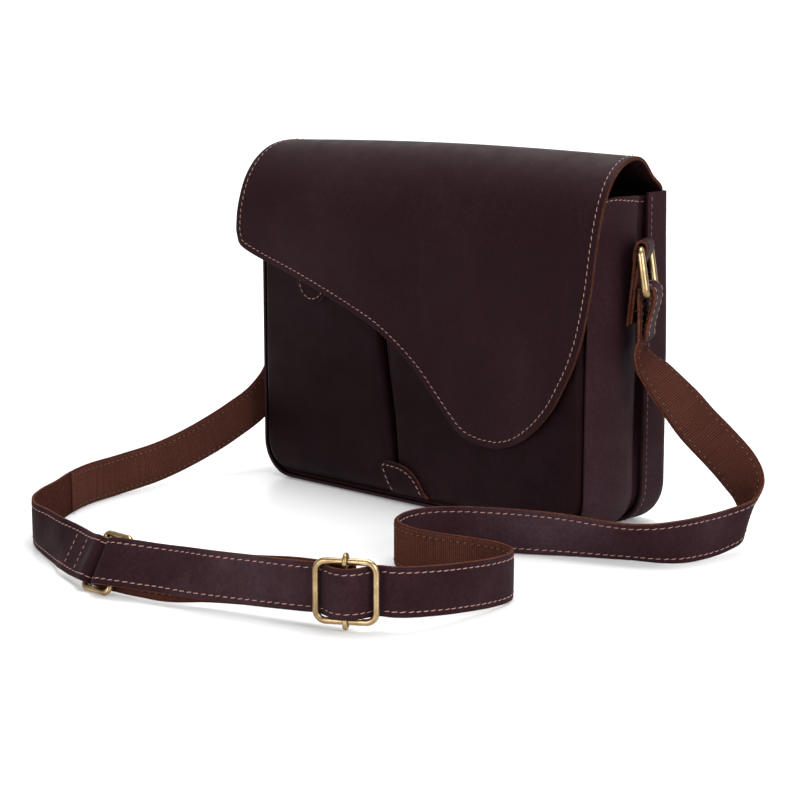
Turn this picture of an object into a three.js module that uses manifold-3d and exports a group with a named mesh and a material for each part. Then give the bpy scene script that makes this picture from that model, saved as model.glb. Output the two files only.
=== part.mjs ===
// A leather crossbody bag that stands on a floor with its strap laid out in front of it.
// Millimetres. X runs to the bag's right, Y to its back and Z up. The origin is the middle of its base.
import * as THREE from 'three';
import { mergeVertices } from 'three/addons/utils/BufferGeometryUtils.js';
import Module from 'manifold-3d';

const wasm = await Module();
wasm.setup();

// Driving sizes
const gap = 0.3;
const leather = 2;
const flapLeather = 2.4;
const halfWidth = 160;
const gussetTop = 230;
const backTop = 231;

const back = { lapFront: 20, rear: 45, fold: 8, bulge: 5, bulgeHeight: 60, corner: 29 };
const front = { outer: -35, top: 222, inset: 2.4, corner: 28 };
const pocket = { outerEdge: 156.3, corner: 26, top: 205, bottom: 5 };
const pocketForm = { depth: 8.2, crown: 1.5, edgeRound: 6, footRound: 12 };
const patchLeather = 1.8;
const patchLift = 0.7;
const ridgeCrown = 3;
const ridgeFoot = 231;
const ridgeTop = 256;
const tab = { middle: -99.5, halfWidth: 16, top: 190, roundCentre: 155 };

const strap = { width: 30, leather: 2, webbing: 1, webbingWidth: 26, webbingGap: 0.5 };
const ringTab = { width: 25, leather: 2 };
const sideRing = { width: 41.4, wire: 5, corner: 6 };
const adjusterRing = { width: 27, height: 40, wire: 4, corner: 5, lean: 33 };
const slider = { outer: 39.2, wire: 4, corner: 8, barWire: 2.8, eyeGap: 0.4 };

// The pleated side of the gusset and its flat base: how far the outer face stands out at each depth,
// how much lower its top hem lies there and the radius of its base corners
const gussetSection = [
  { y: -41.5, side: -1, base: -1.5, drop: 9.5, corner: 28 },
  { y: -38, side: 0, base: 0, drop: 5.9, corner: 28 },
  { y: -30, side: 1.2, base: 0, drop: 1.8, corner: 28 },
  { y: -20, side: 2.2, base: 0, drop: 0, corner: 28 },
  { y: -6, side: 2, base: 0, drop: 0, corner: 28.5 },
  { y: 5, side: 0.6, base: 0, drop: 0.2, corner: 29 },
  { y: 11, side: -1.8, base: -0.2, drop: 0.8, corner: 29 },
  { y: 14, side: -4.4, base: -1, drop: 1.2, corner: 29 },
  { y: 17, side: -6.6, base: -2.4, drop: 1.4, corner: 29 },
  { y: 22, side: -6, base: -2.4, drop: 1.5, corner: 29 },
  { y: 27, side: -2.5, base: -2.4, drop: 1.5, corner: 29 },
  { y: 36, side: -2.4, base: -2.4, drop: 1.5, corner: 29 },
];

// The flap from its sewn end inside the back wall, over the ridge, down to the tip of its front edge
const flapRows = [
  { y: 43.4, z: 206, left: -149, right: 149 },
  { y: 42.6, z: 226, left: -151.5, right: 151.5 },
  { y: 40.9, z: 230.4, left: -155, right: 155.5 },
  { y: 29, z: 242.5, left: -158, right: 156.5 },
  { y: 14, z: 253, left: -163, right: 160.5 },
  { y: 1, z: 256, left: -168, right: 164.5 },
  { y: -16, z: 253, left: -174, right: 167.5 },
  { y: -30, z: 244, left: -176.5, right: 169.5 },
  { y: -40.5, z: 231, left: -177.5, right: 171.5 },
  { y: -47, z: 214, left: -178.5, right: 172 },
  { y: -49.6, z: 197, left: -179.5, right: 171 },
  { y: -50, z: 184, left: -178.5, right: 169.5 },
  { y: -50, z: 176, left: -173, right: 168.5 },
  { y: -50, z: 171, left: -160, right: 167.7 },
  { y: -50, z: 167, left: -147, right: 167 },
  { y: -50, z: 157, left: -113, right: 165 },
  { y: -50, z: 148, left: -85.5, right: 163 },
  { y: -50, z: 138, left: -57, right: 160.5 },
  { y: -50, z: 128, left: -32, right: 157 },
  { y: -50, z: 118, left: -14, right: 153 },
  { y: -50, z: 105, left: 5, right: 146 },
  { y: -50, z: 83, left: 29, right: 131.5 },
  { y: -50, z: 69, left: 43.5, right: 117 },
  { y: -50, z: 62, left: 52, right: 106.5 },
  { y: -50, z: 58, left: 61, right: 97.5 },
  { y: -50, z: 55.6, left: 73, right: 88 },
];

// The slit edges of the two pockets
const slitRows = [
  { z: 5, left: -17.4, right: -15 },
  { z: 32, left: -18.4, right: -16 },
  { z: 118, left: -33, right: -25 },
  { z: 205, left: -44, right: -31 },
];
const pocketHeights = [205, 190, 170, 150, 128, 106, 84, 62, 42, 28, 17, 13, 9.6, 7, 5.5, 5];
const pocketEdgeSteps = [0, 0.3, 1.2, 3, 6];
const pocketMiddleSteps = 4;

// The leaf-shaped patch at the foot of the slit
const patchRows = [
  { z: 30.5, left: -24.5, right: -18.0 },
  { z: 29.6, left: -27.3, right: -9 },
  { z: 27.5, left: -28.8, right: -1.5 },
  { z: 24, left: -28.2, right: 4.5 },
  { z: 20, left: -26.4, right: 9 },
  { z: 15, left: -23.6, right: 12.6 },
  { z: 11.0, left: -21.6, right: 14.0 },
  { z: 7.2, left: -19.7, right: 16.4 },
];

// The right side ring's carrier: where the folded tab stands at its foot and at the ring, and its turn
const tabFoot = { x: 163.1, y: 1.8, z: 145, turn: 20 };
const tabHead = { x: 168, y: 0.2, z: 196, turn: 28 };
const ringFoot = { x: 177.1, y: 1.6, z: 167.2 };

// The folded tab seen along the ring's upper bar: out from the bag and up from the bar
const tabFold = [
  { out: 0.0, up: -51.0 },
  { out: 0.0, up: -30.0 },
  { out: 0.0, up: -12.0 },
  { out: 0.0, up: 1.5 },
  { out: 1.1, up: 4.1 },
  { out: 3.7, up: 5.2 },
  { out: 6.3, up: 4.1 },
  { out: 7.4, up: 1.5 },
  { out: 7.1, up: -2.0 },
  { out: 5.0, up: -7.0 },
  { out: 2.8, up: -12.0 },
  { out: 2.3, up: -18.0 },
  { out: 2.3, up: -32.0 },
  { out: 2.3, up: -49.5 },
];

// The strap's loop over the ring's lower bar, from the sewn end up and over to the running side
const ringLoop = [
  { out: 0.6, up: -31 },
  { out: 0.9, up: -24 },
  { out: 2.3, up: -16 },
  { out: 4.4, up: -8 },
  { out: 5.4, up: -1.5 },
  { out: 4, up: 3.6 },
  { out: 0, up: 5.4 },
  { out: -4, up: 3.6 },
  { out: -5.4, up: -1.5 },
  { out: -5.2, up: -8 },
  { out: -4.9, up: -16 },
  { out: -4.8, up: -24 },
  { out: -4.8, up: -31 },
];

// The long strap from the right side ring down to the floor and round its two bends to the slider.
// The last three columns give the direction across the strap, towards its upper edge.
const longStrapRoute = [
  { x: 171.7, y: -2, z: 127.5, acrossX: -0.44, acrossY: 0.9, acrossZ: 0.05 },
  { x: 174, y: 0.6, z: 120, acrossX: -0.26, acrossY: 0.93, acrossZ: 0.18 },
  { x: 180.8, y: 5, z: 111.8, acrossX: -0.04, acrossY: 0.92, acrossZ: 0.33 },
  { x: 189.5, y: 9, z: 101.2, acrossX: 0.15, acrossY: 0.86, acrossZ: 0.43 },
  { x: 198, y: 13, z: 91, acrossX: 0.28, acrossY: 0.77, acrossZ: 0.54 },
  { x: 206, y: 17, z: 80.5, acrossX: 0.38, acrossY: 0.68, acrossZ: 0.61 },
  { x: 214.9, y: 21.9, z: 70.3, acrossX: 0.5, acrossY: 0.6, acrossZ: 0.62 },
  { x: 222.6, y: 26.6, z: 61.2, acrossX: 0.57, acrossY: 0.52, acrossZ: 0.63 },
  { x: 229.5, y: 30.5, z: 52.3, acrossX: 0.67, acrossY: 0.4, acrossZ: 0.62 },
  { x: 234.8, y: 32.8, z: 43.7, acrossX: 0.79, acrossY: 0.17, acrossZ: 0.58 },
  { x: 239.1, y: 32.5, z: 36.3, acrossX: 0.84, acrossY: -0.12, acrossZ: 0.53 },
  { x: 242.6, y: 29.4, z: 30.4, acrossX: 0.74, acrossY: -0.33, acrossZ: 0.58 },
  { x: 245.8, y: 24.3, z: 24.7, acrossX: 0.52, acrossY: -0.38, acrossZ: 0.76 },
  { x: 247.7, y: 15, z: 20.3, acrossX: 0.26, acrossY: -0.2, acrossZ: 0.94 },
  { x: 246, y: 0.7, z: 17.4, acrossX: 0.14, acrossY: -0.05, acrossZ: 0.99 },
  { x: 242, y: -22, z: 15.4, acrossX: 0.08, acrossY: -0.04, acrossZ: 1 },
  { x: 237, y: -41, z: 15.1, acrossX: 0.12, acrossY: -0.14, acrossZ: 0.98 },
  { x: 227, y: -52, z: 14.4, acrossX: 0.18, acrossY: -0.3, acrossZ: 0.94 },
  { x: 214, y: -58.5, z: 13.9, acrossX: 0.2, acrossY: -0.39, acrossZ: 0.9 },
  { x: 197, y: -66.5, z: 14.1, acrossX: 0.15, acrossY: -0.36, acrossZ: 0.92 },
  { x: 176, y: -76, z: 14.8, acrossX: 0.1, acrossY: -0.22, acrossZ: 0.97 },
  { x: 153, y: -88, z: 15.2, acrossX: 0.03, acrossY: -0.06, acrossZ: 1 },
  { x: 130, y: -101, z: 15.2, acrossX: 0, acrossY: 0, acrossZ: 1 },
  { x: 112, y: -113, z: 15.2, acrossX: 0, acrossY: 0, acrossZ: 1 },
  { x: 101, y: -126, z: 15.2, acrossX: 0, acrossY: 0, acrossZ: 1 },
  { x: 97, y: -141, z: 15.2, acrossX: 0, acrossY: 0, acrossZ: 1 },
  { x: 101, y: -158, z: 15.2, acrossX: 0, acrossY: 0, acrossZ: 1 },
  { x: 111, y: -170, z: 15.2, acrossX: 0, acrossY: 0, acrossZ: 1 },
  { x: 126, y: -176, z: 15.2, acrossX: 0, acrossY: 0, acrossZ: 1 },
  { x: 146, y: -176, z: 15.2, acrossX: 0, acrossY: 0, acrossZ: 1 },
  { x: 172, y: -170, z: 15.2, acrossX: 0, acrossY: 0, acrossZ: 1 },
  { x: 194, y: -167, z: 15.2, acrossX: 0, acrossY: 0, acrossZ: 1 },
  { x: 208, y: -171, z: 15.3, acrossX: 0, acrossY: 0, acrossZ: 1 },
  { x: 217, y: -183, z: 15.8, acrossX: 0, acrossY: 0, acrossZ: 1 },
  { x: 220.4, y: -201, z: 16.8, acrossX: 0, acrossY: 0, acrossZ: 1 },
  { x: 220.4, y: -224, z: 18.6, acrossX: 0, acrossY: 0, acrossZ: 1 },
  { x: 218, y: -247, z: 20.6, acrossX: 0, acrossY: 0, acrossZ: 1 },
];

// The short strap from the left side ring to the floor and round to the adjuster ring
const shortStrapRoute = [
  { x: -178.4, y: 2.2, z: 110, acrossX: -0.36, acrossY: -0.92, acrossZ: 0.14 },
  { x: -178.8, y: -1.6, z: 88, acrossX: -0.2, acrossY: -0.85, acrossZ: 0.45 },
  { x: -179.4, y: -10.5, z: 70, acrossX: -0.07, acrossY: -0.68, acrossZ: 0.72 },
  { x: -181.2, y: -28, z: 53, acrossX: 0, acrossY: -0.4, acrossZ: 0.9 },
  { x: -184.2, y: -53, z: 39.5, acrossX: 0, acrossY: -0.2, acrossZ: 1 },
  { x: -187, y: -85, z: 27, acrossX: 0, acrossY: 0, acrossZ: 1 },
  { x: -186, y: -122, z: 18.5, acrossX: 0, acrossY: 0, acrossZ: 1 },
  { x: -181, y: -165, z: 15.2, acrossX: 0, acrossY: 0, acrossZ: 1 },
  { x: -170, y: -204, z: 15.2, acrossX: 0, acrossY: 0, acrossZ: 1 },
  { x: -157, y: -229, z: 15.2, acrossX: 0, acrossY: 0, acrossZ: 1 },
  { x: -141, y: -252, z: 15.2, acrossX: 0, acrossY: 0, acrossZ: 1 },
  { x: -127, y: -275, z: 15.2, acrossX: 0, acrossY: 0, acrossZ: 1 },
  { x: -113, y: -291, z: 15.2, acrossX: 0, acrossY: 0, acrossZ: 1 },
  { x: -96, y: -302, z: 15.2, acrossX: 0, acrossY: 0, acrossZ: 1 },
  { x: -74, y: -309, z: 15.1, acrossX: 0.03, acrossY: 0.16, acrossZ: 0.98 },
  { x: -48, y: -317.6, z: 15.3, acrossX: 0.04, acrossY: 0.27, acrossZ: 0.96 },
];
// The webbing ends just before the short strap turns, and before the long strap's end goes round the bar
const shortWebbedRows = 9;
const longBareRows = 4;

// The slider and the adjuster ring, standing on the floor: their middles and the way each fold runs
const sliderPlace = { x: 188.1, y: -291, heading: 33 };
const adjusterPlace = { x: 22.5, y: -333.3 };
const shortFoldHeading = -17;
const longFoldHeading = 17.5;
// The long strap's loose loop ends short of the bar it goes round, and leans a little less than the ring
const longFoldSlack = 7;
const longFoldLean = 30;

// The strap through the slider: behind the right bar, over the middle bar, behind the left bar
const sliderPass = [
  { along: 26, away: 4.5 },
  { along: 17.6, away: 5.6 },
  { along: 11.5, away: 0.6 },
  { along: 6.8, away: -4.2 },
  { along: 0, away: -6.6 },
  { along: -6.8, away: -4.2 },
  { along: -11.5, away: 0.6 },
  { along: -17.6, away: 5.6 },
  { along: -27, away: 7 },
];
// Its two layers between the slider and the adjuster ring, then the end sewn round the middle bar
const frontLayer = [
  { x: 127.7, y: -310.2, z: 21.8, acrossX: 0, acrossY: 0.1, acrossZ: 1 },
  { x: 94.4, y: -320.1, z: 21, acrossX: 0, acrossY: 0.2, acrossZ: 0.98 },
];
const backLayer = [
  { x: 92.6, y: -313.9, z: 17.6, acrossX: 0, acrossY: 0.2, acrossZ: 0.98 },
  { x: 126, y: -303.6, z: 20, acrossX: 0, acrossY: 0.1, acrossZ: 1 },
];
const longFold = [
  { along: 40, away: -2.9, up: 1.6 },
  { along: 28, away: -3.4, up: 1.5 },
  { along: 17, away: -5.2, up: 1.3 },
  { along: 8, away: -6.1, up: 1.1 },
  { along: 0, away: -5.6, up: 1 },
  { along: -4, away: -4, up: 1 },
  { along: -5.6, away: 0, up: 1 },
  { along: -4, away: 4, up: 0.9 },
  { along: 0, away: 5.6, up: 0.5 },
  { along: 8, away: 6.1, up: 0 },
  { along: 17, away: 5.2, up: -0.8 },
  { along: 28, away: 3.4, up: -1.5 },
  { along: 40, away: 2.9, up: -2 },
];
const sliderEnd = [
  { along: -27, away: 13.4 },
  { along: -17.6, away: 10.8 },
  { along: -9, away: 8 },
  { along: -2.8, away: 5.9 },
  { along: 2.7, away: 4.8 },
  { along: 5, away: 1.6 },
];
const shortFold = [
  { along: -38, away: -1.2, up: -2.2 },
  { along: -22, away: -1.2, up: -2 },
  { along: -11, away: -1.7, up: -1.3 },
  { along: -4, away: -3.3, up: -0.6 },
  { along: 0, away: -3.7, up: -0.3 },
  { along: 2.6, away: -2.6, up: -0.2 },
  { along: 3.7, away: 0, up: -0.2 },
  { along: 2.6, away: 2.6, up: -0.2 },
  { along: 0, away: 3.7, up: -0.3 },
  { along: -4, away: 3.3, up: -0.6 },
  { along: -11, away: 1.7, up: -1.3 },
  { along: -22, away: 1.2, up: -2 },
  { along: -38, away: 1.2, up: -2.2 },
];

const vector = (x, y, z) => new THREE.Vector3(x, y, z);
const mix = THREE.MathUtils.lerp;
const turned = (degrees) => THREE.MathUtils.degToRad(degrees);

// Surfaces and solids

function geometryFrom(points, triangles) {
  const geometry = new THREE.BufferGeometry();
  const positions = points.flatMap((point) => [point.x, point.y, point.z]);
  geometry.setAttribute('position', new THREE.Float32BufferAttribute(positions, 3));
  geometry.setIndex(outward(points, triangles).flat());
  return geometry;
}

function outward(points, triangles) {
  let volume = 0;
  for (const [a, b, c] of triangles) {
    volume += points[a].dot(points[b].clone().cross(points[c]));
  }
  return volume < 0 ? triangles.map(([a, b, c]) => [a, c, b]) : triangles;
}

// Joins a front and a back grid of points, of the same rows and columns, into one closed sheet
function sheet(frontGrid, backGrid) {
  const rows = frontGrid.length;
  const columns = frontGrid[0].length;
  const points = [...frontGrid.flat(), ...backGrid.flat()];
  const onFront = (row, column) => row * columns + column;
  const onBack = (row, column) => rows * columns + onFront(row, column);
  const triangles = [];
  const quad = (a, b, c, d) => triangles.push([a, b, c], [a, c, d]);
  for (let row = 0; row < rows - 1; row += 1) {
    for (let column = 0; column < columns - 1; column += 1) {
      const [below, beside] = [row + 1, column + 1];
      quad(onFront(row, column), onFront(below, column), onFront(below, beside), onFront(row, beside));
      quad(onBack(row, column), onBack(row, beside), onBack(below, beside), onBack(below, column));
    }
    const last = columns - 1;
    quad(onFront(row, 0), onBack(row, 0), onBack(row + 1, 0), onFront(row + 1, 0));
    quad(onFront(row, last), onFront(row + 1, last), onBack(row + 1, last), onBack(row, last));
  }
  for (let column = 0; column < columns - 1; column += 1) {
    const last = rows - 1;
    quad(onFront(0, column), onFront(0, column + 1), onBack(0, column + 1), onBack(0, column));
    quad(onFront(last, column), onBack(last, column), onBack(last, column + 1), onFront(last, column + 1));
  }
  return geometryFrom(points, triangles);
}

// A wall of even thickness behind a grid of points; a negative thickness puts it on the other side.
// settle may move the points of its hidden face, to keep them off what the wall lies on.
function wall(grid, thickness, settle = (point) => point) {
  const backGrid = grid.map((row, r) => row.map((point, c) => {
    const down = grid[Math.min(r + 1, grid.length - 1)][c].clone().sub(grid[Math.max(r - 1, 0)][c]);
    const over = row[Math.min(c + 1, row.length - 1)].clone().sub(row[Math.max(c - 1, 0)]);
    return settle(point.clone().addScaledVector(down.cross(over).normalize(), -thickness));
  }));
  return sheet(grid, backGrid);
}

// Smooth rows through a table: the slope at each row weighs its two neighbours by their distance
function smoothRows(rows, steps, distance) {
  const columns = Object.keys(rows[0]);
  const length = rows.slice(1).map((row, i) => distance(rows[i], row));
  const slope = (column, i) => {
    const before = Math.max(i - 1, 0);
    const after = Math.min(i, length.length - 1);
    const rise = (j) => (rows[j + 1][column] - rows[j][column]) / length[j];
    return (rise(after) * length[before] + rise(before) * length[after]) / (length[before] + length[after]);
  };
  const result = [];
  for (let i = 0; i < length.length; i += 1) {
    for (let step = 0; step < steps; step += 1) {
      const t = step / steps;
      const row = {};
      for (const column of columns) {
        const startSlope = slope(column, i) * length[i];
        const endSlope = slope(column, i + 1) * length[i];
        row[column] = (2 * t ** 3 - 3 * t ** 2 + 1) * rows[i][column] + (t ** 3 - 2 * t ** 2 + t) * startSlope
          + (3 * t ** 2 - 2 * t ** 3) * rows[i + 1][column] + (t ** 3 - t ** 2) * endSlope;
      }
      result.push(row);
    }
  }
  result.push(rows[rows.length - 1]);
  return result;
}

function tableAt(rows, key, value, column) {
  const next = rows.findIndex((row) => row[key] >= value);
  const upper = Math.max(next, 1);
  const low = rows[upper - 1];
  const high = rows[upper];
  return mix(low[column], high[column], (value - low[key]) / (high[key] - low[key]));
}

// A flat strip along stations that give its middle and the direction across it
function strip(stations, width, thickness, offset) {
  const side = (station, i, depth) => {
    const beforeIt = stations[Math.max(i - 1, 0)].middle;
    const afterIt = stations[Math.min(i + 1, stations.length - 1)].middle;
    const tangent = afterIt.clone().sub(beforeIt).normalize();
    const across = station.across.clone().addScaledVector(tangent, -station.across.dot(tangent)).normalize();
    const centre = station.middle.clone().addScaledVector(tangent.clone().cross(across), depth);
    return [-width / 2, width / 2].map((reach) => centre.clone().addScaledVector(across, reach));
  };
  const frontGrid = stations.map((station, i) => side(station, i, offset - thickness / 2));
  const backGrid = stations.map((station, i) => side(station, i, offset + thickness / 2));
  return sheet(frontGrid, backGrid);
}

// A round wire along a closed flat path of points, with the path's own plane normal
function wireLoop(path, planeNormal, radius, sides) {
  const points = [];
  const triangles = [];
  const at = (i, j) => (i % path.length) * sides + (j % sides);
  path.forEach((point, i) => {
    const ahead = path[(i + 1) % path.length];
    const behind = path[(i + path.length - 1) % path.length];
    const inPlane = ahead.clone().sub(behind).normalize().cross(planeNormal);
    for (let j = 0; j < sides; j += 1) {
      const angle = (2 * Math.PI * (j + 0.5)) / sides;
      const outFromWire = inPlane.clone().multiplyScalar(Math.cos(angle));
      outFromWire.addScaledVector(planeNormal, Math.sin(angle));
      points.push(point.clone().addScaledVector(outFromWire, radius));
      triangles.push([at(i, j), at(i + 1, j), at(i + 1, j + 1)], [at(i, j), at(i + 1, j + 1), at(i, j + 1)]);
    }
  });
  return geometryFrom(points, triangles);
}

// A rectangle with round corners in the plane of two directions
function roundedRectangle(centre, along, up, width, height, radius, cornerSteps) {
  const path = [];
  for (let corner = 0; corner < 4; corner += 1) {
    const signAlong = corner === 0 || corner === 3 ? 1 : -1;
    const signUp = corner < 2 ? 1 : -1;
    for (let step = 0; step <= cornerSteps; step += 1) {
      const angle = (Math.PI / 2) * (corner + step / cornerSteps);
      const reach = signAlong * (width / 2 - radius) + radius * Math.cos(angle);
      const rise = signUp * (height / 2 - radius) + radius * Math.sin(angle);
      path.push(centre.clone().addScaledVector(along, reach).addScaledVector(up, rise));
    }
  }
  return path;
}

function solidOf(geometry) {
  const bare = new THREE.BufferGeometry();
  bare.setAttribute('position', geometry.getAttribute('position'));
  bare.setIndex(geometry.getIndex());
  const merged = mergeVertices(bare, 1e-4);
  const vertProperties = new Float32Array(merged.getAttribute('position').array);
  const triVerts = new Uint32Array(merged.getIndex().array);
  return new wasm.Manifold(new wasm.Mesh({ numProp: 3, vertProperties, triVerts }));
}

function geometryOf(solid) {
  const mesh = solid.getMesh();
  const geometry = new THREE.BufferGeometry();
  geometry.setAttribute('position', new THREE.BufferAttribute(mesh.vertProperties, 3));
  geometry.setIndex(new THREE.BufferAttribute(mesh.triVerts, 1));
  return geometry;
}

// The bag's body

// The bag's front outline, down the left side, round the base corners and up the right side.
// Each point has the outward direction and how much it belongs to a side and not to the base.
function bodyOutline(inset, top, corner) {
  const sideSteps = 5;
  const cornerSteps = 6;
  const half = [];
  for (let step = 0; step < sideSteps; step += 1) {
    const z = mix(top, corner, step / sideSteps);
    half.push({ x: halfWidth - inset, z, outX: 1, outZ: 0, side: 1 });
  }
  for (let step = 0; step <= cornerSteps; step += 1) {
    const angle = (Math.PI / 2) * (step / cornerSteps);
    const radius = corner - inset;
    half.push({
      x: halfWidth - corner + radius * Math.cos(angle),
      z: corner - radius * Math.sin(angle),
      outX: Math.cos(angle),
      outZ: -Math.sin(angle),
      side: 1 - step / cornerSteps,
    });
  }
  const mirrored = half.map((point) => ({ ...point, x: -point.x, outX: -point.outX }));
  return [...mirrored, ...half.reverse()];
}

// A closed body through rings that are the same left and right; each end is filled across
function tub(rings) {
  const count = rings[0].length;
  const triangles = [];
  for (let ring = 0; ring < rings.length - 1; ring += 1) {
    for (let i = 0; i < count; i += 1) {
      const next = (i + 1) % count;
      const a = ring * count + i;
      const b = ring * count + next;
      triangles.push([a, a + count, b + count], [a, b + count, b]);
    }
  }
  const lastRing = (rings.length - 1) * count;
  for (let i = 0; i < count / 2 - 1; i += 1) {
    const [a, b, c, d] = [i, i + 1, count - 2 - i, count - 1 - i];
    triangles.push([a, b, c], [a, c, d]);
    triangles.push([lastRing + a, lastRing + c, lastRing + b], [lastRing + a, lastRing + d, lastRing + c]);
  }
  return geometryFrom(rings.flat(), triangles);
}

function ringAt(inset, top, corner, y) {
  return bodyOutline(inset, top, corner).map((point) => vector(point.x, y, point.z));
}

function bulged(point) {
  const share = THREE.MathUtils.clamp((point.y - back.lapFront) / (back.rear - back.lapFront), 0, 1);
  const swell = Math.sin(((backTop - point.z) / (backTop - back.bulgeHeight)) * (Math.PI / 2));
  return vector(point.x, point.y + back.bulge * share * Math.max(swell, 0), point.z);
}

function backShell(inset, top, start) {
  const foldSteps = 4;
  const radius = back.fold - inset;
  const rings = [ringAt(inset, top, back.corner, start)];
  for (let step = 0; step <= foldSteps; step += 1) {
    const angle = (Math.PI / 2) * (step / foldSteps);
    const foldInset = back.fold - radius * Math.cos(angle);
    rings.push(ringAt(foldInset, top, back.corner, back.rear - back.fold + radius * Math.sin(angle)));
  }
  return tub(rings.map((ring) => ring.map(bulged)));
}

function backPanel() {
  const clearance = 20;
  const outer = solidOf(backShell(0, backTop, back.lapFront));
  const inner = solidOf(backShell(leather, backTop + clearance, back.lapFront - clearance));
  return geometryOf(outer.subtract(inner));
}

function gusset() {
  const outlines = gussetSection.map((column) => bodyOutline(0, gussetTop, column.corner));
  const grid = outlines[0].map((_, i) => gussetSection.map((column, c) => {
    const point = outlines[c][i];
    const out = mix(column.base, column.side, point.side);
    const drop = column.drop * Math.max(point.z - column.corner, 0) / (gussetTop - column.corner);
    return vector(point.x + point.outX * out, column.y, point.z + point.outZ * out - drop);
  }));
  return wall(grid, -leather);
}

function frontPanel() {
  const faces = [front.outer, front.outer + leather];
  return tub(faces.map((y) => ringAt(front.inset, front.top, front.corner, y)));
}

const quarterRound = (share) => Math.sqrt(1 - (1 - THREE.MathUtils.clamp(share, 0, 1)) ** 2);

// How far forward a pocket's face stands from the front wall, away from its side edges
function pocketFace(share, z) {
  const height = (pocket.top - z) / (pocket.top - pocket.bottom);
  const crown = pocketForm.crown * Math.sin(Math.PI * share) * Math.sin(Math.PI * height);
  return (pocketForm.depth + crown) * quarterRound((z - pocket.bottom) / pocketForm.footRound);
}

function pocketEdges(side, z) {
  const drop = Math.max(pocket.bottom + pocket.corner - z, 0);
  const outer = pocket.outerEdge - pocket.corner + Math.sqrt(pocket.corner ** 2 - drop ** 2);
  const slit = tableAt(slitRows, 'z', z, side);
  return side === 'left' ? [-outer, slit] : [slit, outer];
}

const pocketSeat = front.outer - gap;

function pocketGeometry(side) {
  const grid = pocketHeights.map((z) => {
    const [start, end] = pocketEdges(side, z);
    const columns = pocketEdgeSteps.map((step) => start + step);
    const firstMiddle = start + pocketForm.edgeRound;
    const lastMiddle = end - pocketForm.edgeRound;
    for (let step = 1; step <= pocketMiddleSteps; step += 1) {
      columns.push(mix(firstMiddle, lastMiddle, step / (pocketMiddleSteps + 1)));
    }
    columns.push(...pocketEdgeSteps.map((step) => end - step).reverse());
    return columns.map((x) => {
      const nearest = Math.min(x - start, end - x);
      const round = quarterRound(nearest / pocketForm.edgeRound);
      return vector(x, pocketSeat - round * pocketFace((x - start) / (end - start), z), z);
    });
  });
  return wall(grid, leather, (point) => vector(point.x, Math.min(point.y, pocketSeat), point.z));
}

// A flat piece lying on the pockets, from rows that give its left and right edge at each height
function pieceOnPockets(rows, columns, thickness, faceAt) {
  const grid = rows.map((row) => {
    const line = [];
    for (let column = 0; column <= columns; column += 1) {
      const x = mix(row.left, row.right, column / columns);
      line.push(vector(x, faceAt(x, row.z) - gap - thickness, row.z));
    }
    return line;
  });
  return wall(grid, thickness);
}

function pocketPatch() {
  const rows = smoothRows(patchRows, 2, (a, b) => Math.hypot(a.z - b.z, a.left - b.left, a.right - b.right));
  return pieceOnPockets(rows, 6, patchLeather, (x, z) => pocketSeat - pocketFace(0, z) - patchLift);
}

function pocketTab() {
  const roundSteps = 6;
  const rows = [{ z: tab.top, left: tab.middle - tab.halfWidth, right: tab.middle + tab.halfWidth }];
  for (let step = 0; step < roundSteps; step += 1) {
    const angle = (Math.PI / 2) * (step / roundSteps);
    const half = tab.halfWidth * Math.cos(angle);
    const z = tab.roundCentre - tab.halfWidth * Math.sin(angle);
    rows.push({ z, left: tab.middle - half, right: tab.middle + half });
  }
  return pieceOnPockets(rows, 4, patchLeather, (x, z) => {
    const [start, end] = pocketEdges('left', z);
    return pocketSeat - pocketFace((x - start) / (end - start), z);
  });
}

function flap() {
  const columns = 8;
  const rows = smoothRows(flapRows, 2, (a, b) => Math.hypot(a.y - b.y, a.z - b.z));
  const grid = rows.map((row) => {
    const line = [];
    for (let column = 0; column <= columns; column += 1) {
      const share = column / columns;
      const height = THREE.MathUtils.clamp((row.z - ridgeFoot) / (ridgeTop - ridgeFoot), 0, 1);
      const crown = ridgeCrown * height * Math.sin(Math.PI * share);
      line.push(vector(mix(row.left, row.right, share), row.y, row.z + crown));
    }
    return line;
  });
  return wall(grid, flapLeather);
}

// The hardware and the straps

const sideTurn = (degrees) => ({
  bar: vector(-Math.sin(turned(degrees)), Math.cos(turned(degrees)), 0),
  out: vector(Math.cos(turned(degrees)), Math.sin(turned(degrees)), 0),
});
const headTurn = sideTurn(tabHead.turn);
const mirrorX = (point, hand) => vector(point.x * hand, point.y, point.z);

// hand is 1 on the right side and -1 on the left
function ringTabGeometry(hand) {
  const rows = smoothRows(tabFold, 2, (a, b) => Math.hypot(a.out - b.out, a.up - b.up));
  const stations = rows.map((row) => {
    const share = THREE.MathUtils.clamp(1 + row.up / (tabHead.z - tabFoot.z), 0, 1);
    const turn = sideTurn(mix(tabFoot.turn, tabHead.turn, share));
    const x = mix(tabFoot.x, tabHead.x, share);
    const y = mix(tabFoot.y, tabHead.y, share);
    const middle = vector(x, y, tabHead.z + row.up).addScaledVector(turn.out, row.out);
    return { middle: mirrorX(middle, hand), across: mirrorX(turn.bar, hand) };
  });
  return strip(stations, ringTab.width, ringTab.leather, 0);
}

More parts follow.
